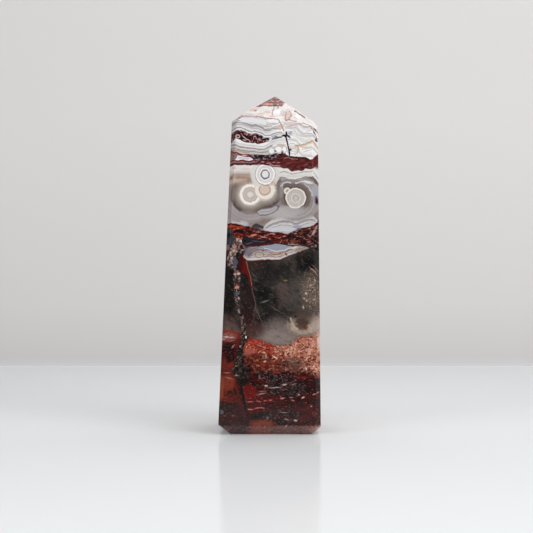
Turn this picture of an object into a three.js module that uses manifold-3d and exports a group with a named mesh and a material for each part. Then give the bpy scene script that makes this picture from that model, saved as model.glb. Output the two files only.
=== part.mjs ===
// A polished lace agate tower. It is one stone, ground flat on a lapidary wheel: a tapered column with four
// broad faces, a narrow facet along each upright edge, a low pyramid for a tip and a bevel round the foot.
// Every facet is a plane, and the stone is what all the planes leave, with its edges softened by the polish.
// Millimetres, +Z up. The broad face with the rings in it looks along -Y, and the origin is under the foot's middle.
import * as THREE from "three";
import { ConvexGeometry } from "three/addons/geometries/ConvexGeometry.js";
import { mergeVertices } from "three/addons/utils/BufferGeometryUtils.js";
import Module from "manifold-3d";

// Driving dimensions
const edgeRadius = 0.35; // how far the polish rounds every edge
const edgeSteps = 3; // flat strips across a rounded edge
const halfWidth = 14.9; // from the axis to the left and right faces, at bevelTop
const halfDepth = 14.5; // from the axis to the front and back faces, at bevelTop
const bevelTop = 3; // height of the bevel round the foot
const apex = new THREE.Vector3(1.6, 0.2, 100.25); // the tip stands a little right of the foot's middle
const shoulder = { reach: 12, height: 93.3 }; // where the tip's right side turns down more steeply
const frontRightCorner = new THREE.Vector3(10.04, -12.14, 90.76); // where the tip's small corner facet starts
const liftedFoot = { reach: 13.7, slope: 10 }; // the foot's front right corner is ground clear of the table

// A facet faces azimuth degrees round from the front, positive to the right, and looks up by the given degrees:
// 0 is an upright wall, 90 looks straight up and -90 straight down. It passes through the given point.
function facet(azimuth, up, point) {
  const turn = THREE.MathUtils.degToRad(azimuth);
  const rise = THREE.MathUtils.degToRad(up);
  const normal = new THREE.Vector3(
    Math.sin(turn) * Math.cos(rise),
    -Math.cos(turn) * Math.cos(rise),
    Math.sin(rise),
  );
  return { normal, distance: normal.dot(point) };
}

// The point that lies reach from the axis in a facet's own direction, at a height.
function reached(azimuth, reach, height) {
  const turn = THREE.MathUtils.degToRad(azimuth);
  return new THREE.Vector3(Math.sin(turn) * reach, -Math.cos(turn) * reach, height);
}

const facetAt = (azimuth, up, reach, height) => facet(azimuth, up, reached(azimuth, reach, height));

// The four broad faces lean in by different amounts, so the column leans to the right.
const broadFaces = [
  facetAt(0, 1.5, halfDepth, bevelTop),
  facetAt(90, 0.47, halfWidth, bevelTop),
  facetAt(180, 1.7, halfDepth, bevelTop),
  facetAt(270, 2.5, halfWidth, bevelTop),
];

// The narrow facets along the upright edges. The front left one widens from the foot to the tip.
const uprightEdges = [
  facetAt(45, 1.52, 19.76, bevelTop),
  facetAt(135, 1.58, 19.73, bevelTop),
  facetAt(225, 3.1, 19.94, bevelTop),
  facetAt(315, 3.26, 20.43, bevelTop),
];

// The tip's four sides meet at the apex. The right side has a steeper shoulder, and three corners are cut back.
const tipSides = [
  facet(9.7, 55.2, apex),
  facet(90, 53.4, apex),
  facet(184, 56, apex),
  facet(270, 55, apex),
  facetAt(90, 34, shoulder.reach, shoulder.height),
  facet(45, 52.8, frontRightCorner),
  facetAt(138, 50, 15.6, 91.2),
  facetAt(228, 48, 14.9, 91),
  facetAt(312, 43, 16.1, 90.5),
];

// The foot: the flat that it stands on, the bevel on each side and across each corner, and the lifted corner.
const foot = [
  facet(0, -90, new THREE.Vector3(0, 0, 0)),
  facetAt(0, -46.3, halfDepth, 2.87),
  facetAt(45, -53.3, 19.76, 2.5),
  facetAt(90, -42, halfWidth, 2.35),
  facetAt(135, -52, 19.73, 3),
  facetAt(180, -45, halfDepth, 2.9),
  facetAt(225, -53, 19.94, 3),
  facetAt(270, -48.3, halfWidth, 3.06),
  facetAt(315, -56.5, 20.43, 3),
  facetAt(60, liftedFoot.slope - 90, liftedFoot.reach, 0),
];

const facets = [...broadFaces, ...uprightEdges, ...tipSides, ...foot];

// A chip in the foot's front edge, where the flat ends: a small scoop, not a facet.
const chip = { at: new THREE.Vector3(9.3, -11.75, -0.25), size: new THREE.Vector3(1.0, 0.8, 0.7) };

// The point where three planes cross, each drawn in by the inset, or null where they don't.
function crossing(a, b, c, inset) {
  const rows = new THREE.Matrix3();
  rows.set(...a.normal.toArray(), ...b.normal.toArray(), ...c.normal.toArray());
  if (Math.abs(rows.determinant()) < 1e-4) return null;
  const away = new THREE.Vector3(a.distance - inset, b.distance - inset, c.distance - inset);
  return away.applyMatrix3(rows.invert());
}

// Directions spread evenly over the corner that three facets make, their own normals included.
function spread(a, b, c) {
  const found = [];
  for (let i = 0; i <= edgeSteps; i++) {
    for (let j = 0; j <= edgeSteps - i; j++) {
      const direction = new THREE.Vector3()
        .addScaledVector(a.normal, i)
        .addScaledVector(b.normal, j)
        .addScaledVector(c.normal, edgeSteps - i - j);
      found.push(direction.normalize());
    }
  }
  return found;
}

// The stone between the facets: its corners are drawn in by the edge radius, and a ball's surface grows them back.
function groundStone() {
  const slack = 1e-6;
  const points = [];
  for (let i = 0; i < facets.length; i++) {
    for (let j = i + 1; j < facets.length; j++) {
      for (let k = j + 1; k < facets.length; k++) {
        const corner = crossing(facets[i], facets[j], facets[k], edgeRadius);
        if (!corner) continue;
        if (facets.some((f) => f.normal.dot(corner) > f.distance - edgeRadius + slack)) continue;
        for (const direction of spread(facets[i], facets[j], facets[k])) {
          points.push(corner.clone().addScaledVector(direction, edgeRadius));
        }
      }
    }
  }
  return new ConvexGeometry(points);
}

const wasm = await Module();
wasm.setup();

// A closed geometry as a solid that can be cut.
function toSolid(geometry) {
  const plain = geometry.clone();
  plain.deleteAttribute("normal");
  plain.deleteAttribute("uv");
  const merged = mergeVertices(plain, 1e-4);
  const vertProperties = new Float32Array(merged.attributes.position.array);
  const triVerts = new Uint32Array(merged.index.array);
  return new wasm.Manifold(new wasm.Mesh({ numProp: 3, vertProperties, triVerts }));
}

// A solid back as a geometry with flat normals.
function toGeometry(solid) {
  const mesh = solid.getMesh();
  const indexed = new THREE.BufferGeometry();
  indexed.setAttribute("position", new THREE.BufferAttribute(mesh.vertProperties, 3));
  indexed.setIndex(new THREE.BufferAttribute(mesh.triVerts, 1));
  const flat = indexed.toNonIndexed();
  flat.computeVertexNormals();
  return flat;
}

function chipScoop() {
  const scoop = new THREE.IcosahedronGeometry(1, 2);
  scoop.scale(chip.size.x, chip.size.y, chip.size.z);
  scoop.translate(chip.at.x, chip.at.y, chip.at.z);
  return scoop;
}

// Puts the origin under the middle of the whole stone.
function centred(geometry) {
  geometry.computeBoundingBox();
  const { min, max } = geometry.boundingBox;
  return geometry.translate(-(min.x + max.x) / 2, -(min.y + max.y) / 2, -min.z);
}

const agate = new THREE.MeshStandardMaterial({ color: 0x8f6f6a, roughness: 0.12, metalness: 0 });

const tower = new THREE.Mesh(centred(toGeometry(toSolid(groundStone()).subtract(toSolid(chipScoop())))), agate);
tower.name = "tower";

const stone = new THREE.Group();
stone.add(tower);

export default stone;
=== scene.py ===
import math
import bpy
import bmesh
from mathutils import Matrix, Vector


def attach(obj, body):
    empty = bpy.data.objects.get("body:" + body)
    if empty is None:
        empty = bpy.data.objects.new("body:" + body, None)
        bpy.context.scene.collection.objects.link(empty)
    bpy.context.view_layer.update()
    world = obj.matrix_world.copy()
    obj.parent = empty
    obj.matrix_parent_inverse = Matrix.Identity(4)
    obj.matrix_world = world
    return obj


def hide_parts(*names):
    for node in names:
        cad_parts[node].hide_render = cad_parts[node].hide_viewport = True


# A polished lace agate tower on a pale sweep. The stone is one piece. Its layers, rings, veins and specks are painted
# by one shader, in millimetres of the stone: x across the ringed face, z up, and depth behind that face.

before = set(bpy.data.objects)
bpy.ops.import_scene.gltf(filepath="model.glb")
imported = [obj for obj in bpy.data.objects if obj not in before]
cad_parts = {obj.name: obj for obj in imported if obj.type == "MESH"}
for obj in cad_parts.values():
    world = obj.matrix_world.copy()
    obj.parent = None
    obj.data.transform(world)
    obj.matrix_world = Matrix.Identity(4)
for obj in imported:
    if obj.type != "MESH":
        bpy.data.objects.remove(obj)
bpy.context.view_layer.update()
print("frame loaded")


# Colours are written as they look on screen, 0 to 255, and turned into Blender's linear light here.
def tone(red, green, blue):
    def linear(level):
        level /= 255
        return level / 12.92 if level <= 0.04045 else ((level + 0.055) / 1.055) ** 2.4
    return (linear(red), linear(green), linear(blue), 1.0)


def join(value, entry):
    if isinstance(value, Wire):
        entry.id_data.links.new(value.socket, entry)
    else:
        entry.default_value = value


# One output in a shader tree. The signs and the calls below add Math nodes behind it.
class Wire:
    def __init__(self, socket):
        self.socket = socket
        self.tree = socket.id_data

    def math(self, operation, *others):
        node = self.tree.nodes.new("ShaderNodeMath")
        node.operation = operation
        for value, entry in zip((self, *others), node.inputs):
            join(value, entry)
        return Wire(node.outputs[0])

    def __add__(self, other):
        return self.math("ADD", other)

    def __sub__(self, other):
        return self.math("SUBTRACT", other)

    def __mul__(self, other):
        return self.math("MULTIPLY", other)

    def least(self, other):
        return self.math("MINIMUM", other)

    # where both masks are
    def __and__(self, other):
        return self.least(other)

    def most(self, other):
        return self.math("MAXIMUM", other)

    def size(self):
        return self.math("ABSOLUTE")

    # A mask is 1 or more inside and 0 or less outside. Its ends are cut off only where it is laid, because a
    # clamped Math node keeps its value waiting, and a few hundred of those are more than Cycles can hold.
    def gate(self, times, plus):
        return self.math("MULTIPLY_ADD", times, plus)

    # a disc, from the distance to its middle
    def within(self, radius):
        return self.gate(-7.0, 7.0 * radius + 0.5)


# What is drawn on the stone, one feature over another. A mask goes over what is there with lay().
class StonePattern:
    def __init__(self, tree, look):
        self.tree = tree
        self.look = look
        self.color = tone(60, 30, 30)

    # paints one layer in a node group of its own
    def paint(self, layer):
        outer = self.tree
        shared = {name: getattr(self, name) for name in ("x", "z", "place", "real", "far", "fine", "grain", "color")}
        kinds = {"place": "NodeSocketVector", "real": "NodeSocketVector", "color": "NodeSocketColor"}
        group = bpy.data.node_groups.new(layer.__name__, "ShaderNodeTree")
        for name in shared:
            group.interface.new_socket(name, in_out="INPUT", socket_type=kinds.get(name, "NodeSocketFloat"))
        group.interface.new_socket("color", in_out="OUTPUT", socket_type="NodeSocketColor")
        self.tree = group
        entry = self.add("NodeGroupInput")
        for name in shared:
            setattr(self, name, Wire(entry.outputs[name]))
        self.objectPlace = Wire(self.add("ShaderNodeTexCoord").outputs["Object"])
        layer(self)
        leave = self.add("NodeGroupOutput")
        join(self.color, leave.inputs["color"])
        self.tree = outer
        node = self.add("ShaderNodeGroup", {"node_tree": group})
        for name, value in shared.items():
            setattr(self, name, value)
            join(value, node.inputs[name])
        self.color = Wire(node.outputs["color"])
        print(layer.__name__, len(group.nodes), "nodes")

    def add(self, kind, settings=None, **entries):
        node = self.tree.nodes.new(kind)
        for name, value in (settings or {}).items():
            setattr(node, name, value)
        for name, value in entries.items():
            join(value, node.inputs[name])
        return node

    # where the stone is, moved, turned in the face and scaled; the scale is along x, depth and z, per millimetre
    def mapped(self, scale, turn=0.0, shift=0.0):
        scale = scale if isinstance(scale, tuple) else (scale, scale, scale)
        metre = self.look["metresToMillimetres"]
        node = self.add("ShaderNodeMapping", {"vector_type": "TEXTURE"}, Vector=self.objectPlace)
        node.inputs["Location"].default_value = (shift / metre, shift / metre, -shift / metre)
        node.inputs["Rotation"].default_value = (0, -math.radians(turn), 0)
        node.inputs["Scale"].default_value = [1 / (size * metre) for size in scale]
        return Wire(node.outputs[0])

    # one of the stone's own coordinates in millimetres: the turn brings its axis onto x, which a gradient reads
    def axis(self, turn):
        node = self.add("ShaderNodeMapping", Vector=self.objectPlace)
        node.inputs["Location"].default_value = (0.5, 0, 0)
        node.inputs["Rotation"].default_value = [math.radians(angle) for angle in turn]
        node.inputs["Scale"].default_value = (4, 4, 4)
        along = self.add("ShaderNodeTexGradient", Vector=Wire(node.outputs[0]))
        return (Wire(along.outputs["Fac"]) - 0.5) * (self.look["metresToMillimetres"] / 4)

    # a noise between 0 and 1, mostly near 0.5
    def noise(self, scale, detail=2.0, rough=0.5, turn=0.0, shift=0.0):
        node = self.add("ShaderNodeTexNoise", Vector=self.mapped(scale, turn, shift), Scale=1.0, Detail=detail,
            Roughness=rough)
        return Wire(node.outputs[0])

    # uneven waves along one number, around 0.5, for fine layers
    def layers(self, height, scale):
        total = 0.5
        for rate, weight, start in ((1.7, 0.13, 0.4), (4.3, 0.11, 1.9), (7.9, 0.08, 3.1)):
            wave = height.math("MULTIPLY_ADD", rate * scale, start).math("SINE")
            total = wave.math("MULTIPLY_ADD", weight, total)
        return total

    # scattered cells: how far to each one's middle, and a random number for each
    def cells(self, scale, turn=0.0, shift=0.0):
        node = self.add("ShaderNodeTexVoronoi", Vector=self.mapped(scale, turn, shift), Scale=1.0)
        pick = self.add("ShaderNodeSeparateColor", Color=Wire(node.outputs["Color"]))
        return Wire(node.outputs["Distance"]), Wire(pick.outputs[0])

    # a smooth curve through (along, value) points, level beyond its ends
    def curve(self, along, points):
        node = self.add("ShaderNodeFloatCurve", Value=along)
        node.mapping.use_clip = False
        node.mapping.extend = "HORIZONTAL"
        track = node.mapping.curves[0].points
        track[0].location = points[0]
        track[1].location = points[-1]
        for point in points[1:-1]:
            track.new(*point)
        for point in track:
            point.handle_type = "AUTO_CLAMPED"
        node.mapping.update()
        return Wire(node.outputs[0])

    # colours along a number, at the numbers given
    def ramp(self, along, stops, step="LINEAR"):
        first, last = stops[0][0], stops[-1][0]
        node = self.add("ShaderNodeValToRGB", Fac=(along - first) * (1 / (last - first)))
        node.color_ramp.interpolation = step
        elements = node.color_ramp.elements
        elements[0].color, elements[1].color = tone(*stops[0][1]), tone(*stops[-1][1])
        for at, color in stops[1:-1]:
            elements.new((at - first) / (last - first)).color = tone(*color)
        return Wire(node.outputs["Color"])

    def mix(self, mask, under, over):
        node = self.add("ShaderNodeMix", {"data_type": "RGBA"})
        join(mask, node.inputs[0])
        join(under, node.inputs[6])
        join(over, node.inputs[7])
        return Wire(node.outputs[2])

    # the feature goes over what is there
    def lay(self, mask, color, strength=1.0):
        if isinstance(color, tuple):
            color = tone(*color)
        if strength != 1.0:
            mask = mask.least(strength)
        self.color = self.mix(mask, self.color, color)

    # a gap above 0 is inside the feature; rough is a noise that eats into its edge
    def edge(self, gap, soft, rough, deep):
        if rough is not None:
            gap = gap + rough
        if not deep:
            gap = gap - self.far
        return gap.gate(1 / soft, 0.5)

    # all that is above a curve
    def above(self, points, soft=0.12, rough=None):
        return self.edge(self.z - self.curve(self.x, points), soft, rough, True)

    # a line through (along, across) or (along, across, half width) points, thinning away at both ends
    def line(self, points, half=0.15, soft=0.14, upright=False, deep=False, rough=None, fade=0.5):
        along, across = (self.z, self.x) if upright else (self.x, self.z)
        points = sorted((*p, half)[:3] for p in points)
        width = [(points[0][0] - fade, -0.35), *[(p[0], p[2]) for p in points], (points[-1][0] + fade, -0.35)]
        off = (across - self.curve(along, [p[:2] for p in points])).size()
        return self.edge(self.curve(along, width) - off, soft, rough, deep)

    # all between two edges, given as (along, low, high) points
    def patch(self, points, soft=0.14, upright=False, deep=False, rough=None, fade=0.4):
        along, across = (self.z, self.x) if upright else (self.x, self.z)
        points = sorted(points)
        start, stop = points[0], points[-1]
        ends = ((start[0] - fade, (start[1] + start[2]) / 2), (stop[0] + fade, (stop[1] + stop[2]) / 2))
        low = [(p[0], p[1]) for p in points]
        high = [(p[0], p[2]) for p in points]
        low = [(ends[0][0], ends[0][1] + 0.5), *low, (ends[1][0], ends[1][1] + 0.5)]
        high = [(ends[0][0], ends[0][1] - 0.5), *high, (ends[1][0], ends[1][1] - 0.5)]
        over = across - self.curve(along, low)
        return self.edge(over.least(self.curve(along, high) - across), soft, rough, deep)

    # 0 at the middle of an ellipsoid and 1 at its surface
    def reach(self, x, z, wide, tall, turn=0.0, depth=0.0, thick=None):
        place = self.place
        if turn:
            node = self.add("ShaderNodeVectorRotate", {"rotation_type": "Y_AXIS"}, Vector=place, Center=(x, 0, z),
                Angle=math.radians(turn))
            place = Wire(node.outputs[0])
        thick = thick or 3 + 2 * max(wide, tall)
        node = self.add("ShaderNodeVectorMath", {"operation": "MULTIPLY_ADD"})
        join(place, node.inputs[0])
        node.inputs[1].default_value = (1 / wide, 1 / thick, 1 / tall)
        node.inputs[2].default_value = (-x / wide, -depth / thick, -z / tall)
        length = self.add("ShaderNodeVectorMath", {"operation": "LENGTH"})
        join(Wire(node.outputs[0]), length.inputs[0])
        return Wire(length.outputs["Value"])

    def spot(self, x, z, wide, tall, turn=0.0, soft=0.2, rough=None, depth=0.0, thick=None):
        away = self.reach(x, z, wide, tall, turn, depth, thick)
        least = min(wide, tall)
        if rough is not None:
            away = away - rough * (1 / least)
        return away.gate(-least / soft, least / soft + 0.5)

    # spots and short streaks: x, z, half length, half height, turn and colour, and for some a strength and softness
    def dots(self, table, soft=0.2, rough=None):
        for x, z, wide, tall, turn, color, *own in table:
            strength, edge = own + [1.0, soft][len(own):]
            self.lay(self.spot(x, z, wide, tall, turn, edge, rough), color, strength)

    def ring(self, x, z, wide, tall, half=0.12, soft=0.14):
        least = min(wide, tall)
        off = (self.reach(x, z, wide, tall) - 1.0).size()
        return off.gate(-least / soft, half / soft + 0.5)


stoneLook = {
    "metresToMillimetres": 1000.0,
    "frontLean": 0.0262,  # how far the ringed face leans back for each millimetre up
    "frontFace": 14.5,  # from the axis to that face, 3 mm up
    "tipFace": (-0.0962, 0.5626, -0.8211, 82.36),  # the plane of the tip's own front face
    "smallDepth": 3.5,  # small features stop this far in, in mm
    "smallFade": 0.6,
    "wander": 0.3,  # how far every edge wanders, in mm
    "wanderScale": 0.85,
    "driftScale": 0.045,
    "driftDepth": 11.0,  # the drift is whole this far in, in mm
    "dip": [(0, 0), (1.5, 0.6), (4, 3.0), (9, 6.6), (16, 9.2), (29, 11.5)],  # layers run down towards the back
    "sideDrift": 9.0,  # how far the layers drift on the other faces, in mm
    "driftAcross": 2.4,
    "driftUp": 1.6,
    "roughness": 0.115,
    "roughChange": 0.09,
    "unevenness": 0.00005,  # how high the polish swells and how deep its pits are, in metres
    "swellScale": 0.11,
    "pitScale": 0.8,
    "ior": 1.43,
    "deepen": 1.14,  # above 1, the polish makes the darks deeper
}


# The stone's own coordinates: x and z on the ringed face, drifting away from it as the depth grows.
def placeStone(s):
    look = s.look
    s.objectPlace = Wire(s.add("ShaderNodeTexCoord").outputs["Object"])
    millimetres = s.mapped(1.0)
    x, y, z = (s.axis(turn) for turn in ((0, 0, 0), (0, 0, -90), (0, 90, 0)))
    behindFace = y + look["frontFace"] - (z - 3.0) * look["frontLean"]
    across, back, up, off = look["tipFace"]
    behindTip = (x * across) + (y * back) + (z * up) + off
    depth = behindFace.least(behindTip).most(0.0)
    s.far = ((depth - look["smallDepth"]) * look["smallFade"]).most(0.0)
    away = (depth * (1 / look["driftDepth"])).least(1.0)
    away = away * away
    drift = s.add("ShaderNodeTexNoise", Vector=millimetres, Scale=look["driftScale"], Detail=1.0)
    drifts = s.add("ShaderNodeSeparateColor", Color=Wire(drift.outputs["Color"]))
    wander = s.add("ShaderNodeTexNoise", Vector=millimetres, Scale=look["wanderScale"], Detail=2.0)
    wanders = s.add("ShaderNodeSeparateColor", Color=Wire(wander.outputs["Color"]))
    sideways = (Wire(drifts.outputs[0]) - 0.5) * away * (look["sideDrift"] * look["driftAcross"])
    upward = (Wire(drifts.outputs[1]) - 0.5) * away * (look["sideDrift"] * look["driftUp"])
    s.x = x + sideways + (Wire(wanders.outputs[0]) - 0.5) * (look["wander"] * 2)
    s.z = z + s.curve(depth, look["dip"]) + upward + (Wire(wanders.outputs[1]) - 0.5) * (look["wander"] * 2)
    s.place = Wire(s.add("ShaderNodeCombineXYZ", X=s.x, Y=depth, Z=s.z).outputs[0])
    s.real = Wire(s.add("ShaderNodeCombineXYZ", X=x, Y=y, Z=z).outputs[0])
    s.fine = s.noise(1.7, 2.0, 0.6) - 0.5
    s.grain = s.noise(4.2, 2.0, 0.6, shift=6) - 0.5


# The lowest layer: deep red jasper, streaked along the layers, with rows of small grey lenses.
def paintDeepRed(s):
    flow = s.noise((0.2, 0.3, 0.75), 4.0, 0.66, turn=-2, shift=4)
    s.color = s.ramp(flow, [(0.3, (17, 9, 11)), (0.41, (30, 12, 14)), (0.5, (52, 14, 14)), (0.57, (84, 18, 15)),
        (0.64, (54, 18, 18)), (0.76, (92, 38, 32))])
    s.lay(s.spot(10.8, 6.0, 3.6, 2.4, soft=2.4), (70, 24, 25), 0.7)
    s.lay(s.spot(-6.0, 12.4, 2.1, 2.3, soft=1.0, rough=s.fine), (122, 26, 21), 0.8)
    s.lay(s.spot(-1.5, 9.5, 5.0, 2.0, soft=2.0), (88, 26, 23), 0.45)
    s.lay(s.spot(1.6, 7.6, 4.4, 1.7, soft=1.6, rough=s.fine), (40, 13, 14), 0.5)
    s.lay(s.spot(11.0, 14.2, 3.4, 2.2, soft=1.6), (42, 19, 21), 0.75)
    s.lay(s.spot(-2.2, 3.2, 3.2, 1.2, soft=1.0, rough=s.fine * 1.5), (138, 70, 52), 0.8)
    s.lay(s.spot(6.0, 1.6, 4.0, 1.0, soft=0.8, rough=s.fine), (86, 72, 70), 0.7)
    # grey patches with small lenses in them, each with a broken pale rim
    rows = s.spot(1.8, 17.4, 4.8, 1.8, soft=1.6, turn=-4).most(s.spot(4.0, 14.0, 5.6, 2.5, soft=1.6, turn=-4))
    rows = rows.most(s.spot(3.6, 5.7, 4.4, 1.5, soft=1.4) & 0.4)
    rows = rows + s.fine * 1.4
    s.lay(rows, (26, 20, 22), 0.85)
    far = s.cells((0.55, 0.55, 1.5), turn=4)[0]
    s.lay((far - 0.42).size().gate(-13.0, 1.0) & s.grain.gate(8.0, 0.3) & rows, (150, 134, 130), 0.5)
    s.lay(far.gate(-10.0, 3.2) & rows, (24, 24, 27), 0.9)
    # short threads and flecks along the streaks
    threads = s.noise((0.6, 0.6, 3.0), 3.0, 0.62, turn=-3, shift=8)
    s.lay((threads - 0.58).size().gate(-48.0, 0.9), (140, 64, 56), 0.26)
    s.lay(threads.gate(-16.0, 6.6), (17, 10, 12), 0.85)
    flecks = s.noise((1.1, 1.1, 3.4), 2.0, 0.6, turn=-5, shift=21)
    s.lay(flecks.gate(26.0, -16.6), s.ramp(s.grain, [(-0.1, (150, 34, 26)), (0.1, (186, 142, 134))]), 0.55)
    s.dots([(-1.0, 14.3, 0.45, 0.25, 0, (206, 164, 150)), (-2.9, 16.9, 0.3, 0.6, 0, (120, 100, 98)),
        (1.5, 13.9, 1.4, 0.14, 4, (178, 160, 156)), (4.3, 14.7, 0.6, 0.16, 10, (190, 172, 166)),
        (7.0, 14.8, 0.7, 0.14, 16, (150, 116, 112)), (-2.5, 12.0, 1.2, 0.14, 12, (170, 140, 134)),
        (-2.1, 12.7, 0.9, 0.13, 4, (150, 110, 106)), (2.0, 18.3, 1.1, 0.2, -12, (150, 36, 28)),
        (10.0, 16.7, 1.1, 0.3, 0, (132, 34, 28)), (-5.6, 9.75, 0.8, 0.15, 4, (196, 110, 98)),
        (-3.2, 9.9, 0.7, 0.15, -6, (182, 96, 86)), (-1.3, 10.05, 0.4, 0.15, 10, (186, 104, 96)),
        (-5.6, 7.6, 0.8, 0.15, 0, (206, 128, 116)), (-3.4, 7.9, 0.9, 0.15, 8, (196, 112, 102)),
        (-2.0, 7.95, 0.5, 0.14, -12, (190, 104, 96)), (0.2, 10.2, 0.5, 0.14, 6, (196, 120, 112)),
        (3.75, 10.7, 0.7, 0.2, 8, (206, 134, 126)), (6.3, 11.05, 0.5, 0.15, 0, (196, 116, 108)),
        (6.7, 10.1, 0.5, 0.15, -20, (184, 110, 102)), (9.7, 11.0, 0.45, 0.17, 28, (228, 178, 168)),
        (12.9, 11.9, 0.4, 0.14, 20, (196, 150, 142)), (14.0, 12.5, 0.5, 0.16, 44, (186, 130, 124)),
        (8.5, 11.7, 0.25, 0.25, 0, (196, 160, 152)), (12.1, 8.4, 0.28, 0.2, 0, (186, 150, 146)),
        (7.5, 4.3, 0.5, 0.22, 0, (180, 170, 160)), (5.0, 4.6, 0.6, 0.14, -10, (150, 140, 138)),
        (4.2, 6.6, 0.9, 0.13, -4, (140, 128, 126)), (-0.6, 5.0, 0.4, 0.2, 40, (120, 108, 106)),
        (-4.1, 5.5, 0.7, 0.28, 0, (16, 14, 16)), (3.6, 2.6, 0.9, 0.3, 0, (128, 60, 46)),
        (4.5, 2.5, 0.55, 0.24, 36, (222, 190, 170)), (9.4, 1.3, 0.4, 0.25, 0, (206, 176, 158))])
    s.lay(s.ring(12.9, 6.3, 0.45, 0.45), (128, 62, 60), 0.8)


# Salmon pink over it, full of worm-like specks, and redder to the left.
def paintSalmon(s):
    broad = s.noise(0.3, 2.0, 0.5, shift=7)
    body = s.ramp(broad, [(0.32, (166, 104, 84)), (0.5, (187, 128, 107)), (0.68, (208, 158, 138))])
    redder = s.curve(s.x, [(-16, 0.95), (-6, 0.9), (-2, 0.85), (1, 0.66), (4, 0.3), (8, 0.08), (12, 0.0)])
    body = s.mix(redder, body, s.ramp(broad, [(0.4, (150, 44, 30)), (0.6, (140, 62, 44))]))
    bottom = [(-16, 24.6), (-8, 24.0), (-5, 22.4), (-3, 20.4), (-1, 19.4), (1, 19.6), (3, 19.4), (5, 19.4), (8, 19.2),
        (10.5, 19.2), (12.5, 18.4), (14.5, 17.8), (16, 17.4)]
    inside = s.above(bottom, soft=2.4, rough=s.fine * 5.0)
    s.lay(inside, body)
    # worm-like specks, closer together lower down and to the left
    worms = s.noise((1.1, 1.1, 1.7), 2.0, 0.6, turn=-20, shift=3)
    level = s.curve(s.z, [(17, 0.5), (20, 0.49), (23, 0.45), (26, 0.42), (28, 0.39), (31, 0.34)])
    level = level + s.curve(s.x, [(-8, 0.0), (2, 0.02), (6, 0.03), (10, -0.01), (13, -0.03)])
    s.lay((level - worms).gate(16.0, 0.35) & inside, (86, 28, 21), 0.85)
    pale = s.noise((1.5, 1.5, 2.2), 2.0, 0.6, turn=25, shift=11)
    s.lay((pale - 0.57).gate(13.0, 0.0) & inside, (230, 184, 164), 0.75)
    s.lay((pale - 0.4).gate(-18.0, 0.0) & inside, (70, 24, 18), 0.8)
    s.dots([(6.6, 20.9, 3.0, 1.3, 0, (78, 62, 54), 0.7), (-6.0, 24.2, 1.6, 0.9, 8, (184, 112, 98), 0.55, 1.2)],
        soft=1.6, rough=s.fine * 2.5)
    s.lay(s.spot(3.2, 20.5, 2.0, 1.0, soft=1.2, rough=s.fine * 2), (92, 34, 30), 0.5)
    # the red left half
    s.lay(s.spot(-3.2, 26.6, 3.4, 1.5, soft=0.9, rough=s.fine * 2, turn=-10), (150, 50, 34), 0.6)
    mottle = s.spot(-3.4, 21.2, 3.8, 2.4, soft=1.2, rough=s.fine * 2)
    s.lay(mottle, (82, 32, 24), 0.75)
    s.lay((pale - 0.53).gate(14.0, 0.0) & mottle, (150, 84, 64), 0.8)
    s.dots([(-2.7, 25.6, 1.1, 0.22, -20, (122, 22, 18)), (-2.9, 25.9, 0.8, 0.12, -20, (206, 140, 128)),
        (-1.4, 25.3, 0.6, 0.14, -24, (214, 150, 136)), (-0.6, 24.9, 0.7, 0.22, -18, (120, 16, 14)),
        (0.4, 25.9, 1.1, 0.3, -14, (164, 36, 24)), (-5.4, 26.9, 0.8, 0.2, -30, (190, 84, 58)),
        (-1.4, 21.4, 0.4, 0.26, 20, (226, 170, 156)), (-1.0, 23.0, 0.25, 0.7, 8, (186, 130, 116)),
        (-3.6, 21.7, 0.4, 0.35, 0, (152, 96, 60)), (-3.4, 20.2, 0.5, 0.25, 0, (170, 108, 92)),
        (-2.0, 19.9, 0.5, 0.25, 0, (150, 36, 28)), (1.1, 22.0, 0.5, 0.2, 20, (24, 10, 10)),
        (2.4, 20.6, 0.5, 0.18, 0, (14, 8, 9)), (4.1, 20.3, 0.4, 0.2, -30, (14, 9, 10)),
        (3.2, 23.2, 0.45, 0.16, 0, (24, 10, 10)), (1.5, 22.6, 0.7, 0.17, -35, (232, 186, 166)),
        (-6.2, 20.0, 0.35, 0.25, 0, (16, 11, 12)), (-5.7, 19.0, 0.35, 0.25, 0, (16, 11, 12)),
        (12.8, 20.0, 0.3, 0.2, 0, (236, 200, 186)), (13.5, 19.4, 0.35, 0.15, -30, (236, 206, 192)),
        (10.6, 19.3, 0.2, 0.4, 10, (226, 190, 178)), (7.4, 28.0, 0.5, 0.14, 40, (128, 52, 40)),
        (9.2, 28.2, 0.8, 0.12, 10, (134, 58, 44)), (8.2, 27.2, 0.6, 0.12, -15, (126, 48, 36)),
        (11.6, 22.4, 0.5, 0.1, 30, (120, 44, 36))])
    s.lay(s.ring(-1.5, 22.7, 0.45, 0.35, half=0.1), (160, 136, 126), 0.8)


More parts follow.
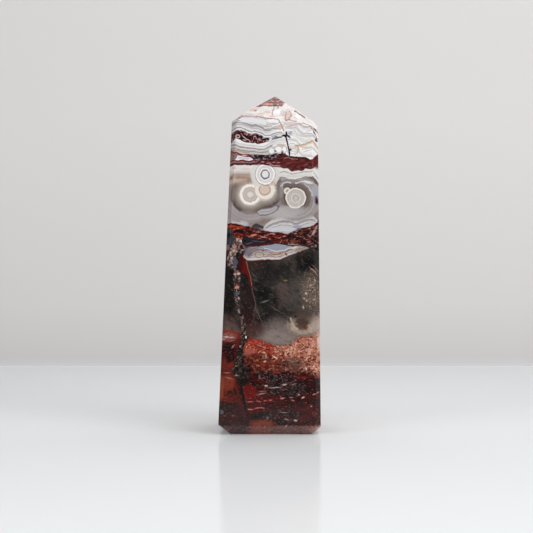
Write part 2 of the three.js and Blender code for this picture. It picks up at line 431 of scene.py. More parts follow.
# Smoky olive and grey chalcedony, with mist along its foot that stands higher to the right.
def paintSmoke(s):
    broad = s.noise((0.22, 0.22, 0.26), 5.0, 0.62, shift=2)
    smoke = s.ramp(broad, [(0.32, (24, 23, 23)), (0.46, (44, 41, 39)), (0.56, (62, 57, 53)), (0.7, (92, 82, 76))])
    bottom = [(-16, 31.5), (-13.8, 30.8), (-11, 30.4), (-9, 29.6), (-7, 28.9), (-5, 28.4), (-3, 27.9), (-1, 27.2),
        (0.5, 26.6), (2, 26.1), (4, 26.3), (6, 26.9), (7.5, 28.1), (9, 28.8), (11, 28.9), (13, 29.4), (14.5, 30.6),
        (16, 31.5)]
    inside = s.above(bottom, soft=0.8, rough=s.fine * 2.4)
    s.lay(inside, smoke)
    s.dots([(1.4, 47.4, 5.2, 2.8, 0, (40, 37, 36), 0.75), (-4.6, 49.4, 2.4, 1.2, 0, (66, 46, 42), 0.7, 1.4)],
        soft=2.4)
    s.lay(s.spot(4.4, 41.2, 1.9, 3.0, soft=2.2, rough=s.fine * 1.6), (96, 82, 77), 0.75)
    s.dots([(8.4, 40.6, 2.4, 4.8, 0, (86, 79, 75), 0.7), (6.7, 47.2, 0.6, 2.4, -4, (84, 76, 72), 0.3, 0.8)], soft=2.4)
    s.dots([(-1.9, 41.2, 2.1, 1.8, 0, (20, 19, 20), 0.9), (10.7, 49.6, 2.6, 2.0, 0, (22, 21, 22), 0.9)], soft=1.3,
        rough=s.fine)
    s.lay(s.spot(3.0, 34.8, 4.2, 1.0, soft=1.2, turn=-3, rough=s.fine * 2), (48, 44, 42), 0.8)
    s.dots([(-1.2, 36.0, 1.8, 1.6, 0, (36, 31, 31), 0.8), (-12.2, 42.0, 2.6, 8.6, 0, (22, 15, 17), 0.95, 1.6),
        (-6.4, 37.8, 2.2, 8.6, 0, (46, 27, 29), 0.85), (-7.2, 45.0, 0.9, 2.2, 0, (30, 28, 29), 0.9, 0.6)], soft=1.4)
    tan = s.spot(12.6, 41.6, 2.8, 4.6, soft=3.0, turn=8)
    s.lay(tan, (124, 106, 97), 0.8)
    mist = s.curve(s.x, [(-16, 34.6), (-12, 33.8), (-10, 32.4), (-8, 30.4), (-5, 30.6), (-3, 31.2), (-1, 32.4),
        (1, 33.3), (4, 33.6), (8, 33.8), (16, 34.4)]) - s.z + s.fine * 2.0
    s.lay(mist.gate(0.2, 0.34) & inside, (134, 119, 114), 0.88)
    s.dots([(2.6, 28.4, 3.8, 1.5, -8, (150, 138, 133), 0.6), (-4.6, 30.2, 2.8, 1.8, 0, (84, 56, 52), 0.6),
        (-8.4, 31.6, 5.2, 3.6, 0, (64, 32, 30), 0.45, 2.2)], soft=1.8, rough=s.fine)
    # wisps, fine grit and pale grains
    wisps = s.noise((0.5, 0.5, 1.3), 4.0, 0.66, turn=-35, shift=17)
    s.lay(wisps.gate(6.0, -3.5) & inside, (108, 99, 94), 0.3)
    s.lay(wisps.gate(-6.0, 2.6) & inside, (22, 20, 20), 0.35)
    grit = s.noise(2.4, 2.0, 0.6, shift=19)
    s.lay(grit.gate(14.0, -8.1) & tan, (190, 170, 154), 0.75)
    s.lay(grit.gate(-14.0, 5.7) & tan, (52, 43, 40), 0.75)
    s.lay(grit.gate(10.0, -6.2) & inside, (124, 112, 104), 0.3)
    s.dots([(-1.4, 38.8, 1.1, 0.2, 16, (118, 112, 107)), (-4.5, 46.5, 0.7, 0.12, -45, (104, 98, 96)),
        (1.7, 36.6, 1.4, 0.12, -32, (104, 97, 93)), (1.0, 37.3, 0.5, 0.2, 0, (84, 44, 38)),
        (7.6, 34.5, 0.4, 0.4, 0, (24, 17, 17)), (10.6, 41.2, 0.3, 0.22, 0, (206, 186, 166)),
        (10.1, 39.6, 0.22, 0.2, 0, (196, 178, 160)), (10.8, 39.0, 0.2, 0.22, 0, (196, 178, 160)),
        (9.8, 37.0, 0.22, 0.4, 0, (206, 194, 184)), (4.7, 44.9, 0.4, 0.15, 0, (156, 128, 84)),
        (13.0, 47.6, 1.1, 0.12, -40, (196, 160, 144)), (13.6, 48.4, 0.9, 0.1, -40, (150, 124, 116)),
        (11.9, 43.4, 0.22, 0.35, 0, (178, 158, 140)), (13.0, 39.3, 0.25, 0.25, 0, (180, 158, 140)),
        (13.2, 45.0, 0.3, 0.2, 0, (176, 156, 140)), (12.4, 42.2, 0.2, 0.2, 0, (30, 24, 24))], soft=0.3)


# A cream bowl round a brown eye, low on the right.
def paintBowl(s):
    rough = s.fine * 2.2
    s.dots([(9.6, 31.7, 3.6, 2.1, 0, (192, 173, 156), 0.75), (13.0, 32.0, 1.1, 2.0, 0, (180, 162, 150), 0.65, 1.6),
        (9.9, 34.3, 2.3, 2.4, 0, (88, 72, 66), 0.6, 1.9), (9.4, 32.3, 2.0, 1.8, 0, (66, 45, 40), 0.8, 1.5)], soft=1.7,
        rough=rough)
    s.lay(s.spot(10.2, 31.2, 0.7, 0.5, soft=0.5), (112, 48, 40), 0.6)
    s.lay(s.line([(6.3, 33.8), (6.9, 31.8), (8, 30.8)], half=0.2, soft=0.7, rough=s.fine), (206, 190, 176), 0.55)
    s.dots([(14.6, 27.6, 0.7, 2.1, 0, (226, 204, 194), 0.85), (14.6, 32.8, 0.7, 2.2, 0, (196, 176, 168), 0.7, 1.0)],
        soft=0.9, rough=s.fine)


# The lower left corner, where the red layer breaks up: orange, maroon and black-green.
def paintLowerLeft(s):
    rough = s.fine * 0.9
    s.lay(s.patch([(0, -18, -6.2), (3, -18, -6.6), (7, -18, -7.5), (10, -18, -8.4), (14, -18, -9.2), (17, -18, -10),
        (24, -18, -9), (28, -18, -8), (29.4, -18, -8.2)], upright=True, deep=True, soft=0.5, rough=rough),
        (92, 36, 30))
    s.lay(s.patch([(0, -18, -5.6), (3, -18, -5.9), (6, -18, -6.8), (8.5, -18, -8.4), (9.6, -18, -12)], upright=True,
        deep=True, soft=1.2, rough=rough), (42, 31, 32), 0.95)
    s.lay(s.spot(-12.2, 15.2, 2.0, 2.2, soft=1.2, rough=rough), (132, 62, 44), 0.9)
    s.lay(s.spot(-14.2, 14.0, 0.8, 3.4, soft=0.7), (150, 82, 58), 0.8)
    s.lay(s.spot(-12.0, 19.9, 2.3, 1.3, soft=0.8, rough=rough), (104, 44, 38), 0.9)
    s.lay(s.spot(-11.9, 24.0, 2.4, 2.9, soft=0.5, rough=s.fine * 1.6), (34, 17, 20), 0.95)
    s.dots([(-13.7, 21.5, 0.9, 1.9, 0, (110, 46, 38), 0.8), (-12.4, 28.7, 2.6, 1.0, 0, (152, 104, 98), 0.9)],
        soft=0.7, rough=rough)
    s.lay(s.line([(-14.4, 29.6), (-13.7, 29.9), (-12.5, 30.2), (-11, 30.1), (-9.5, 29.4), (-8.7, 28.9)], half=0.35,
        rough=s.fine * 0.5), (138, 60, 42))
    s.dots([(-8.8, 28.7, 0.5, 0.7, 20, (128, 36, 28)), (-11.8, 28.45, 1.6, 0.22, -8, (196, 172, 174)),
        (-13.5, 27.9, 0.7, 0.3, 0, (190, 140, 136)), (-11.4, 27.4, 1.6, 0.16, 6, (164, 104, 96)),
        (-10.6, 25.8, 0.65, 0.18, 50, (170, 112, 108)), (-11.0, 20.4, 0.7, 0.3, 20, (146, 34, 26)),
        (-12.3, 18.2, 0.9, 0.18, 0, (158, 108, 98)), (-11.8, 16.6, 1.1, 0.16, -12, (166, 116, 104)),
        (-13.0, 11.0, 0.6, 0.3, 0, (146, 44, 32)), (-12.4, 10.2, 0.4, 0.25, 30, (138, 44, 32)),
        (-10.0, 13.0, 0.4, 0.5, 0, (38, 22, 24)), (-9.8, 12.1, 0.35, 0.35, 0, (30, 20, 22)),
        (-11.6, 12.6, 0.7, 0.5, 0, (54, 30, 30)), (-13.9, 6.8, 0.6, 0.7, 0, (92, 92, 100)),
        (-13.0, 5.7, 0.4, 0.25, 0, (136, 60, 56)), (-10.6, 5.8, 0.4, 0.2, 0, (146, 78, 72)),
        (-11.2, 4.2, 0.35, 0.2, 0, (132, 52, 46)), (-12.0, 7.9, 0.8, 0.25, -20, (64, 44, 44)),
        (-9.4, 7.6, 0.9, 0.3, 20, (58, 40, 40)), (-9.9, 3.4, 1.0, 0.3, 0, (58, 56, 60))])
    grit = s.noise((1.4, 1.4, 2.4), 2.0, 0.6, turn=-8, shift=23)
    corner = s.spot(-11.6, 13, 4.6, 16, soft=2.0)
    s.lay(grit.gate(16.0, -9.2) & corner, (138, 54, 42), 0.5)
    s.dots([(-11.2, 4.2, 3.4, 1.0, 0, (66, 27, 26), 0.5), (-8.6, 7.0, 1.6, 1.2, 0, (80, 29, 27), 0.5, 1.0)], soft=1.2,
        rough=s.fine * 2.2)
    # the bevel round the foot is painted paler, more so to the right: painted light, where the bevel catches light
    # from the table
    footLight = s.axis((0, 90, 0)).gate(-1.8, 5.2) + s.fine * 3.0
    s.lay(footLight, s.ramp(s.x, [(-15, (112, 86, 84)), (-12, (104, 66, 66)), (-7, (82, 62, 62)), (-5.0, (148, 92, 82)),
        (0.2, (152, 98, 88)), (1.4, (130, 96, 91)), (9, (136, 98, 92)), (12, (164, 122, 113)),
        (15, (200, 158, 146))]), 0.85)
    s.lay(grit.gate(14.0, -8.6) & footLight, (190, 150, 140), 0.5)
    s.lay(grit.gate(-14.0, 5.8) & footLight, (70, 40, 38), 0.6)
    s.lay(grit.gate(-16.0, 6.6) & corner, (24, 17, 19), 0.7)


veinTable = [(57.4, -10.2, -8.2), (56.5, -10.6, -7.6), (55.5, -11.0, -7.2), (54.5, -11.3, -7.0), (53.5, -11.4, -7.6),
    (52.5, -11.6, -8.6), (51.5, -12.0, -9.0), (49.5, -12.0, -9.1), (48, -10.8, -9.5), (47.4, -10.5, -8.7),
    (46.5, -10.6, -8.4), (44, -10.4, -8.5), (42, -10.5, -8.7), (40.5, -10.3, -8.6), (38.5, -10.0, -8.9),
    (36.5, -9.5, -8.7), (34.5, -8.8, -7.5), (32, -8.3, -7.0), (30, -8.3, -6.8), (28, -8.4, -6.5), (26, -9.0, -7.3),
    (24, -9.3, -7.7), (22, -9.9, -7.6), (20, -10.7, -7.0), (19, -10.9, -5.8), (17, -9.9, -5.6), (16, -9.4, -6.0),
    (15, -9.0, -6.5), (14, -8.7, -7.8), (13, -8.5, -7.6), (11, -8.0, -7.2), (9, -7.7, -6.8), (7, -7.0, -6.3)]


# The dark broken vein down the left of the face, and the red wedge beside it.
def paintVein(s):
    s.lay(s.line([(46.6, -6.0), (44, -5.2), (43, -5.1), (42, -5), (40, -4.5), (38, -4.1), (36.5, -3.9), (35, -3.2),
        (33, -2.3)], half=0.12, upright=True, soft=0.2), (112, 92, 90), 0.7)
    s.lay(s.line([(38, -4.1), (36, -4.4), (34, -4.8), (32, -5.2)], half=0.1, upright=True, soft=0.2), (96, 74, 72),
        0.6)
    s.lay(s.patch([(52, -9.0, -7.9), (51, -8.9, -7.2), (50, -8.9, -6.9), (49, -8.9, -6.6), (48, -8.6, -6.3),
        (47.3, -8.1, -6.1), (46.8, -6.9, -5.9), (46, -6.4, -5.7), (45, -6.1, -5.45), (44, -5.8, -5.25),
        (42.8, -5.3, -5.05)], upright=True, rough=s.fine * 0.25), (104, 22, 18))
    s.lay(s.spot(-8.7, 49.4, 0.9, 2.6, soft=0.8, turn=-6, rough=s.fine), (48, 20, 20), 0.7)
    s.lay(s.line([(50.5, -6.8), (48, -6.2), (46, -5.6), (43.5, -5.15)], half=0.1, upright=True), (158, 116, 92), 0.8)
    s.lay(s.line([(54.8, -6.5), (53.8, -7), (53, -7.6), (52.2, -8.2), (51.5, -8.6)], half=0.35, upright=True),
        (62, 18, 18))
    s.lay(s.line([(54, -11.8), (52.5, -11.9), (51.5, -12.3), (50.6, -12.9)], half=0.14, upright=True), (120, 34, 30))
    # the vein's own broken filling
    vein = s.patch(veinTable, upright=True, soft=0.2, rough=s.fine * 0.5)
    shards = s.noise((1.3, 0.8, 1.0), 3.0, 0.7, turn=-14, shift=13)
    s.lay(vein, s.ramp(shards, [(0.34, (12, 10, 12)), (0.45, (30, 24, 25)), (0.53, (58, 48, 45)), (0.6, (92, 76, 70)),
        (0.68, (142, 118, 110))]))
    upper = s.patch([(58, -10.4, -7.8), (56.5, -10.7, -7.4), (54.5, -11.3, -6.9), (53, -11.7, -8.6),
        (51.5, -12.3, -10.6), (49.5, -12.3, -10.6), (48.4, -10.9, -10.1), (47.4, -10.3, -8.6), (45.6, -10.3, -8.6)],
        upright=True, soft=0.3, rough=s.fine * 0.8)
    s.lay(upper, s.ramp(shards, [(0.37, (22, 16, 19)), (0.46, (96, 77, 74)), (0.53, (152, 128, 122)),
        (0.6, (194, 174, 168)), (0.68, (224, 214, 210))]))
    s.lay(s.curve(s.z, [(45, 0.5), (49, 0.5), (50.5, 0.0)]) & upper, (28, 19, 21))
    grains = s.noise(2.2, 2.0, 0.6, shift=31)
    lower = s.patch([(45.4, -10.2, -8.7), (42, -10.3, -8.9), (38.2, -9.9, -9.0)], upright=True, soft=0.4,
        rough=s.fine * 0.6)
    s.lay(lower, s.ramp(grains, [(0.4, (28, 21, 22)), (0.5, (74, 62, 62)), (0.58, (126, 108, 102)),
        (0.66, (186, 168, 158))]))
    s.lay(grains.gate(16.0, -9.6) & vein, (160, 140, 132), 0.65)
    s.lay(s.patch([(45.2, -9.9, -9.0), (43.7, -9.8, -9.1)], upright=True, soft=0.3), (62, 36, 32), 0.85)
    s.lay(s.curve(s.z, [(4, 0.85), (14.5, 0.8), (18, 0.5), (27, 0.4), (31, 0.0)]) & vein, (22, 14, 15))
    s.dots([(-10.0, 50.3, 0.7, 1.2, 6, (84, 90, 108)), (-9.9, 56.0, 0.3, 1.1, 8, (96, 62, 46)),
        (-10.3, 54.6, 0.45, 0.45, 0, (186, 132, 124)), (-8.0, 56.3, 0.45, 0.4, 0, (222, 200, 198)),
        (-10.4, 53.5, 0.4, 0.4, 0, (188, 166, 150)), (-9.3, 52.4, 0.5, 0.8, -20, (30, 22, 25)),
        (-8.2, 54.6, 0.4, 0.8, 15, (46, 30, 32)), (-9.0, 46.9, 0.5, 0.35, 0, (206, 176, 166)),
        (-10.0, 46.8, 0.4, 0.3, 0, (196, 162, 150)), (-9.5, 42.9, 0.6, 0.4, 10, (196, 140, 122)),
        (-9.6, 43.7, 0.35, 0.3, 0, (126, 72, 50)), (-9.5, 41.0, 0.4, 0.8, 0, (92, 98, 110)),
        (-8.9, 39.7, 0.3, 0.3, 0, (168, 154, 148)), (-8.9, 35.9, 0.2, 0.7, 26, (150, 142, 140)),
        (-9.0, 37.6, 0.25, 0.4, 0, (88, 70, 62)), (-8.0, 33.0, 0.25, 0.6, 10, (112, 92, 86)),
        (-7.3, 29.5, 0.3, 0.25, 0, (150, 130, 124)), (-6.8, 28.4, 0.3, 0.35, 0, (232, 222, 218)),
        (-6.35, 28.2, 0.25, 0.5, 0, (20, 14, 15)), (-8.5, 25.7, 0.3, 0.3, 0, (162, 136, 128)),
        (-8.0, 27.0, 0.3, 0.5, 0, (96, 60, 54)), (-9.8, 20.1, 0.25, 0.2, 0, (150, 118, 66)),
        (-9.7, 21.0, 0.2, 0.2, 0, (140, 108, 62)), (-9.3, 22.6, 0.25, 0.25, 0, (144, 108, 64)),
        (-9.7, 17.4, 0.4, 0.25, 0, (160, 134, 120)), (-6.1, 20.1, 0.5, 0.4, 0, (18, 14, 15)),
        (-5.9, 18.9, 0.5, 0.4, 0, (18, 14, 15)), (-7.6, 15.9, 1.0, 0.6, 0, (36, 20, 21)),
        (-8.4, 18.6, 0.5, 0.4, 30, (78, 66, 58)), (-7.0, 18.0, 0.4, 0.3, 0, (70, 56, 52)),
        (-8.0, 23.0, 0.3, 0.6, -20, (70, 56, 50))])


brickTop = [(-13.5, 62.8), (-12.4, 62), (-11.5, 61.65), (-10, 61.3), (-8.5, 61.1), (-6.5, 60.75), (-5, 60.3),
    (-3, 60), (-2, 59.95), (-1.5, 59.6), (-1, 59.4), (0, 59.2), (1, 59.05), (3, 58.9), (4, 58.6), (5, 58.6),
    (5.8, 58.75), (6.4, 59.1), (6.8, 59.7), (7.4, 60), (8.5, 60.1), (10.5, 60.4), (11.5, 60.7), (12.3, 60.85),
    (12.9, 61.1), (13.3, 61.5), (14.2, 62.9), (16, 64)]
brickBottom = [(-13.5, 60.5), (-12.3, 60.6), (-11.8, 60.2), (-11.2, 59.9), (-10.8, 59), (-10.3, 58), (-9.8, 57.4),
    (-9, 57), (-8.3, 56.9), (-7.5, 57.9), (-6.5, 57.7), (-6, 57.4), (-5, 57.2), (-3, 56.95), (-1.3, 56.6),
    (-0.5, 56.8), (0.5, 56.65), (1.6, 56), (3, 55.9), (4, 55.7), (5, 55.2), (6, 54.95), (7, 54.85), (9, 55.1),
    (11, 54.8), (13, 54.6), (14, 55.2), (16, 56)]


# The broken red band across the middle, with slate under its left half.
def paintBrokenBand(s):
    s.lay(s.patch([(-13.5, 56.8, 59.5), (-12.5, 55, 60.4), (-11.6, 55, 60.2), (-10.9, 55.2, 59.2)], soft=0.3,
        rough=s.fine * 0.6), (62, 64, 72))
    s.dots([(-11.8, 58.2, 0.7, 0.8, 0, (30, 22, 25)), (-12.3, 54.7, 0.6, 0.8, 0, (142, 118, 116), 0.9)], soft=0.4)
    s.lay(s.patch([(-7.8, 55.3, 58), (-6, 54.9, 57.6), (-4, 54.9, 57.4), (-2, 55.0, 57.2), (0, 55.4, 57),
        (1.4, 55.9, 57)], deep=True, soft=0.3, rough=s.fine * 0.5), (46, 39, 43))
    s.dots([(-6.0, 55.7, 1.0, 0.2, 10, (84, 88, 104)), (-4.2, 56.3, 0.9, 0.16, -8, (90, 84, 92)),
        (-2.2, 56.2, 0.8, 0.14, 6, (104, 92, 96)), (-7.1, 56.4, 0.4, 0.3, 0, (20, 16, 20)),
        (-0.4, 56.1, 0.6, 0.14, -10, (24, 18, 22))])
    s.lay(s.line([(-7.2, 54.8), (-5, 54.85), (-3, 55.1), (-1, 55.5), (0, 55.7), (1.5, 56)], half=0.22), (96, 28, 28))

    inside = s.above(brickBottom, soft=0.25, rough=s.fine * 0.7)
    streak = s.noise((0.9, 0.9, 2.3), 3.0, 0.7, turn=6, shift=15)
    middle = s.ramp(streak, [(0.36, (24, 12, 17)), (0.44, (66, 20, 21)), (0.52, (112, 38, 30)), (0.58, (132, 60, 48)),
        (0.66, (216, 164, 154))])
    left = s.ramp(streak, [(0.36, (36, 13, 14)), (0.45, (110, 34, 20)), (0.54, (164, 62, 34)),
        (0.66, (196, 104, 72))])
    right = s.ramp(streak, [(0.36, (18, 11, 14)), (0.46, (52, 24, 27)), (0.54, (82, 42, 38)), (0.61, (122, 74, 62)),
        (0.68, (196, 172, 166))])
    body = s.mix(s.curve(s.x, [(-10, 1), (-8.5, 0.5), (-7, 0)]), middle, left)
    body = s.mix(s.curve(s.x, [(3, 0), (6, 1)]), body, right)
    s.lay(inside, body)
    far, pick = s.cells((0.9, 0.8, 2.4), turn=6, shift=3)
    shard = s.ramp(pick, [(0.0, (16, 11, 15)), (0.36, (88, 26, 22)), (0.54, (56, 40, 40)), (0.66, (126, 52, 38)),
        (0.8, (206, 160, 150)), (0.86, (44, 20, 22))], step="CONSTANT")
    s.lay(far.gate(-9.0, 4.2) & inside, shard, 0.6)
    s.lay(s.line([(x, z - 0.25) for x, z in brickTop if -13 < x < -6], half=0.22, rough=s.fine * 0.4), (52, 20, 20),
        0.9)
    s.dots([(-9.0, 59.2, 1.8, 0.5, 3, (24, 17, 24)), (-9.6, 58.1, 0.8, 0.5, 20, (100, 34, 28)),
        (-11.0, 60.7, 1.2, 0.35, -6, (166, 66, 38)), (-8.4, 60.3, 1.1, 0.3, 0, (160, 62, 36)),
        (-4.7, 58.05, 0.9, 0.35, 10, (198, 132, 122)), (-3.4, 59.7, 1.7, 0.3, 2, (58, 60, 62)),
        (-2.6, 58.4, 1.2, 0.16, -8, (24, 12, 16)), (-0.6, 57.9, 0.9, 0.16, 8, (30, 14, 18)),
        (-5.8, 59.0, 0.8, 0.18, -6, (26, 12, 16)), (-1.6, 57.5, 0.8, 0.14, 0, (196, 150, 142)),
        (0.6, 58.5, 0.7, 0.14, 14, (188, 138, 130)), (2.5, 56.4, 0.6, 0.3, 0, (104, 34, 31)),
        (2.0, 57.7, 0.6, 0.2, 0, (138, 38, 32)), (-3.2, 58.9, 0.6, 0.14, 0, (192, 140, 132)),
        (6.8, 56.4, 0.9, 0.4, 0, (122, 68, 46)), (9.3, 58.7, 0.7, 0.35, 20, (112, 62, 44)),
        (6.9, 55.35, 0.9, 0.2, 0, (150, 140, 138)), (11.5, 56.2, 0.6, 0.3, 0, (150, 104, 98)),
        (11.7, 57.7, 0.4, 0.3, 0, (156, 110, 104)), (5.4, 57.6, 1.2, 0.3, 12, (30, 16, 19)),
        (8.4, 57.2, 1.1, 0.3, -10, (28, 17, 20)), (10.2, 58.2, 0.8, 0.25, 14, (30, 18, 22)),
        (9.8, 56.0, 0.8, 0.25, 0, (32, 22, 24)), (12.9, 59.0, 1.2, 0.3, 55, (176, 148, 146)),
        (13.3, 57.4, 0.9, 0.25, 60, (34, 20, 24)), (12.7, 60.3, 0.7, 0.3, 40, (120, 46, 40)),
        (13.6, 60.6, 0.8, 0.25, 60, (168, 130, 128)), (13.3, 56.0, 0.5, 0.5, 0, (22, 15, 19)),
        (13.5, 55.2, 0.4, 0.3, 0, (130, 120, 122)), (13.7, 54.4, 0.8, 0.35, 0, (26, 20, 23)),
        (14.0, 58.2, 0.5, 0.6, 0, (90, 50, 48))])


# The blue-white lens that hangs under the broken band.
def paintLens(s):
    table = [(-7.6, 51.9, 52.1), (-7.3, 51.4, 52.6), (-6.8, 51.0, 53.3), (-6.4, 50.7, 53.9), (-6.1, 50.7, 54.4),
        (-5.5, 50.75, 54.6), (-4.5, 50.8, 54.65), (-3.5, 50.85, 54.7), (-2.5, 50.95, 54.9), (-1.5, 51, 55.05),
        (-0.5, 51, 55.1), (0.5, 51.05, 55.3), (1.3, 51.05, 55.5), (2, 51.05, 55.6), (2.8, 50.95, 55.5),
        (3.5, 51.2, 55.4), (4.5, 51.7, 55.15), (5.5, 52.1, 54.9), (6.5, 52.5, 54.8), (7.5, 52.8, 54.9),
        (8.2, 53.2, 54.95), (9, 53.5, 55), (10, 53.8, 54.9), (10.8, 54.1, 54.6), (11.3, 54.25, 54.35)]
    s.lay(s.line([(x, low - 0.1) for x, low, high in table], half=0.12, soft=0.2), (120, 52, 46), 0.7)
    inside = s.patch(table, soft=0.2)
    bow = s.curve(s.x, [(-7.6, 51.3), (-6, 50.8), (-3, 50.9), (0, 51.0), (2.8, 51.0), (4.5, 51.7), (6.5, 52.5),
        (8.2, 53.1), (11.3, 54.2)])
    height = s.z - bow + (s.fine * 0.7)
    s.lay(inside, s.ramp(height, [(0.0, (186, 176, 174)), (0.25, (212, 208, 212)), (0.6, (204, 196, 194)),
        (0.8, (158, 130, 116)), (0.98, (208, 200, 196)), (1.3, (186, 176, 170)), (1.5, (146, 122, 110)),
        (1.7, (204, 196, 192)), (2.0, (160, 146, 140)), (2.3, (184, 178, 178)), (2.8, (148, 142, 146)),
        (3.4, (178, 174, 178)), (4.2, (160, 158, 166))]))
    s.dots([(-6.2, 53.0, 1.1, 1.5, -20, (112, 112, 126), 0.85),
        (-4.8, 53.9, 1.8, 0.6, 0, (136, 130, 134), 0.85, 0.6)], soft=0.8)
    s.lay(s.ring(-3.0, 52.4, 1.3, 0.8, half=0.1), (150, 120, 104), 0.75)
    s.lay(s.line([(-6.2, 52.2), (-5, 52.9), (-3.6, 53.7), (-2.2, 53.9), (-1, 53.4), (0.4, 52.8), (1.6, 52.4),
        (3, 52.7), (4.6, 53.4), (6.4, 54.1), (8, 54.4)], half=0.1, rough=s.fine * 0.3), (128, 88, 72), 0.9)
    s.lay(s.line([(-5.4, 53.6), (-4, 54.3), (-2.6, 54.5), (-1, 54.0), (0.2, 53.5)], half=0.09), (138, 104, 90), 0.85)
    s.lay(s.line([(-2, 51.9), (0, 52.0), (2, 51.8), (4, 52.3), (5.6, 52.9)], half=0.09), (150, 118, 104), 0.8)
    s.lay(s.patch([(-1.6, 54.4, 55.0), (-0.6, 54.3, 55.0), (0.4, 54, 55.1), (1.2, 53.75, 55.3), (2, 53.55, 55.4),
        (3, 53.7, 55.3), (4, 53.9, 55.1), (5, 54.1, 54.8), (6, 54.5, 54.75)], soft=0.4, rough=s.fine * 0.4),
        (154, 158, 173), 0.88)
    s.lay(s.line([(-1.5, 54.3), (0, 53.9), (1, 53.6), (2, 53.35), (3, 53.5), (4, 53.7), (5, 53.95), (6, 54.4)],
        half=0.14), (208, 208, 216), 0.9)
    s.lay(s.line([(0.6, 53.2), (2, 53.0), (3, 53.15), (4, 53.25)], half=0.13), (178, 142, 118), 0.9)
    s.lay(s.line([(6.5, 54.3), (8, 54.45), (9.5, 54.5)], half=0.2), (226, 222, 222), 0.8)
    s.lay(s.spot(9.6, 54.0, 2.2, 0.9, turn=20, soft=1.2, rough=s.fine) & inside, (128, 112, 106), 0.65)
    s.dots([(4.6, 52.75, 0.25, 0.2, 0, (96, 34, 32)), (4.95, 52.35, 0.25, 0.18, 0, (104, 40, 36)),
        (-1.85, 53.65, 0.25, 0.22, 0, (96, 62, 46)), (-6.7, 51.9, 0.4, 0.3, 0, (186, 150, 146)),
        (0.4, 52.2, 1.0, 0.14, 0, (176, 152, 138)), (-0.6, 53.1, 0.6, 0.3, 0, (168, 160, 160))])


# the shades round the eyes, by the distance from their rims
haloShades = [(0.0, (214, 208, 202)), (0.3, (176, 166, 158)), (0.9, (158, 146, 138)), (1.5, (136, 122, 114)),
    (1.95, (112, 98, 94)), (2.2, (82, 78, 86)), (2.45, (96, 92, 98)), (2.75, (160, 153, 151)), (3.1, (178, 171, 169)),
    (3.5, (160, 150, 148)), (3.9, (178, 171, 169)), (4.4, (160, 150, 148)), (5.2, (170, 162, 160))]


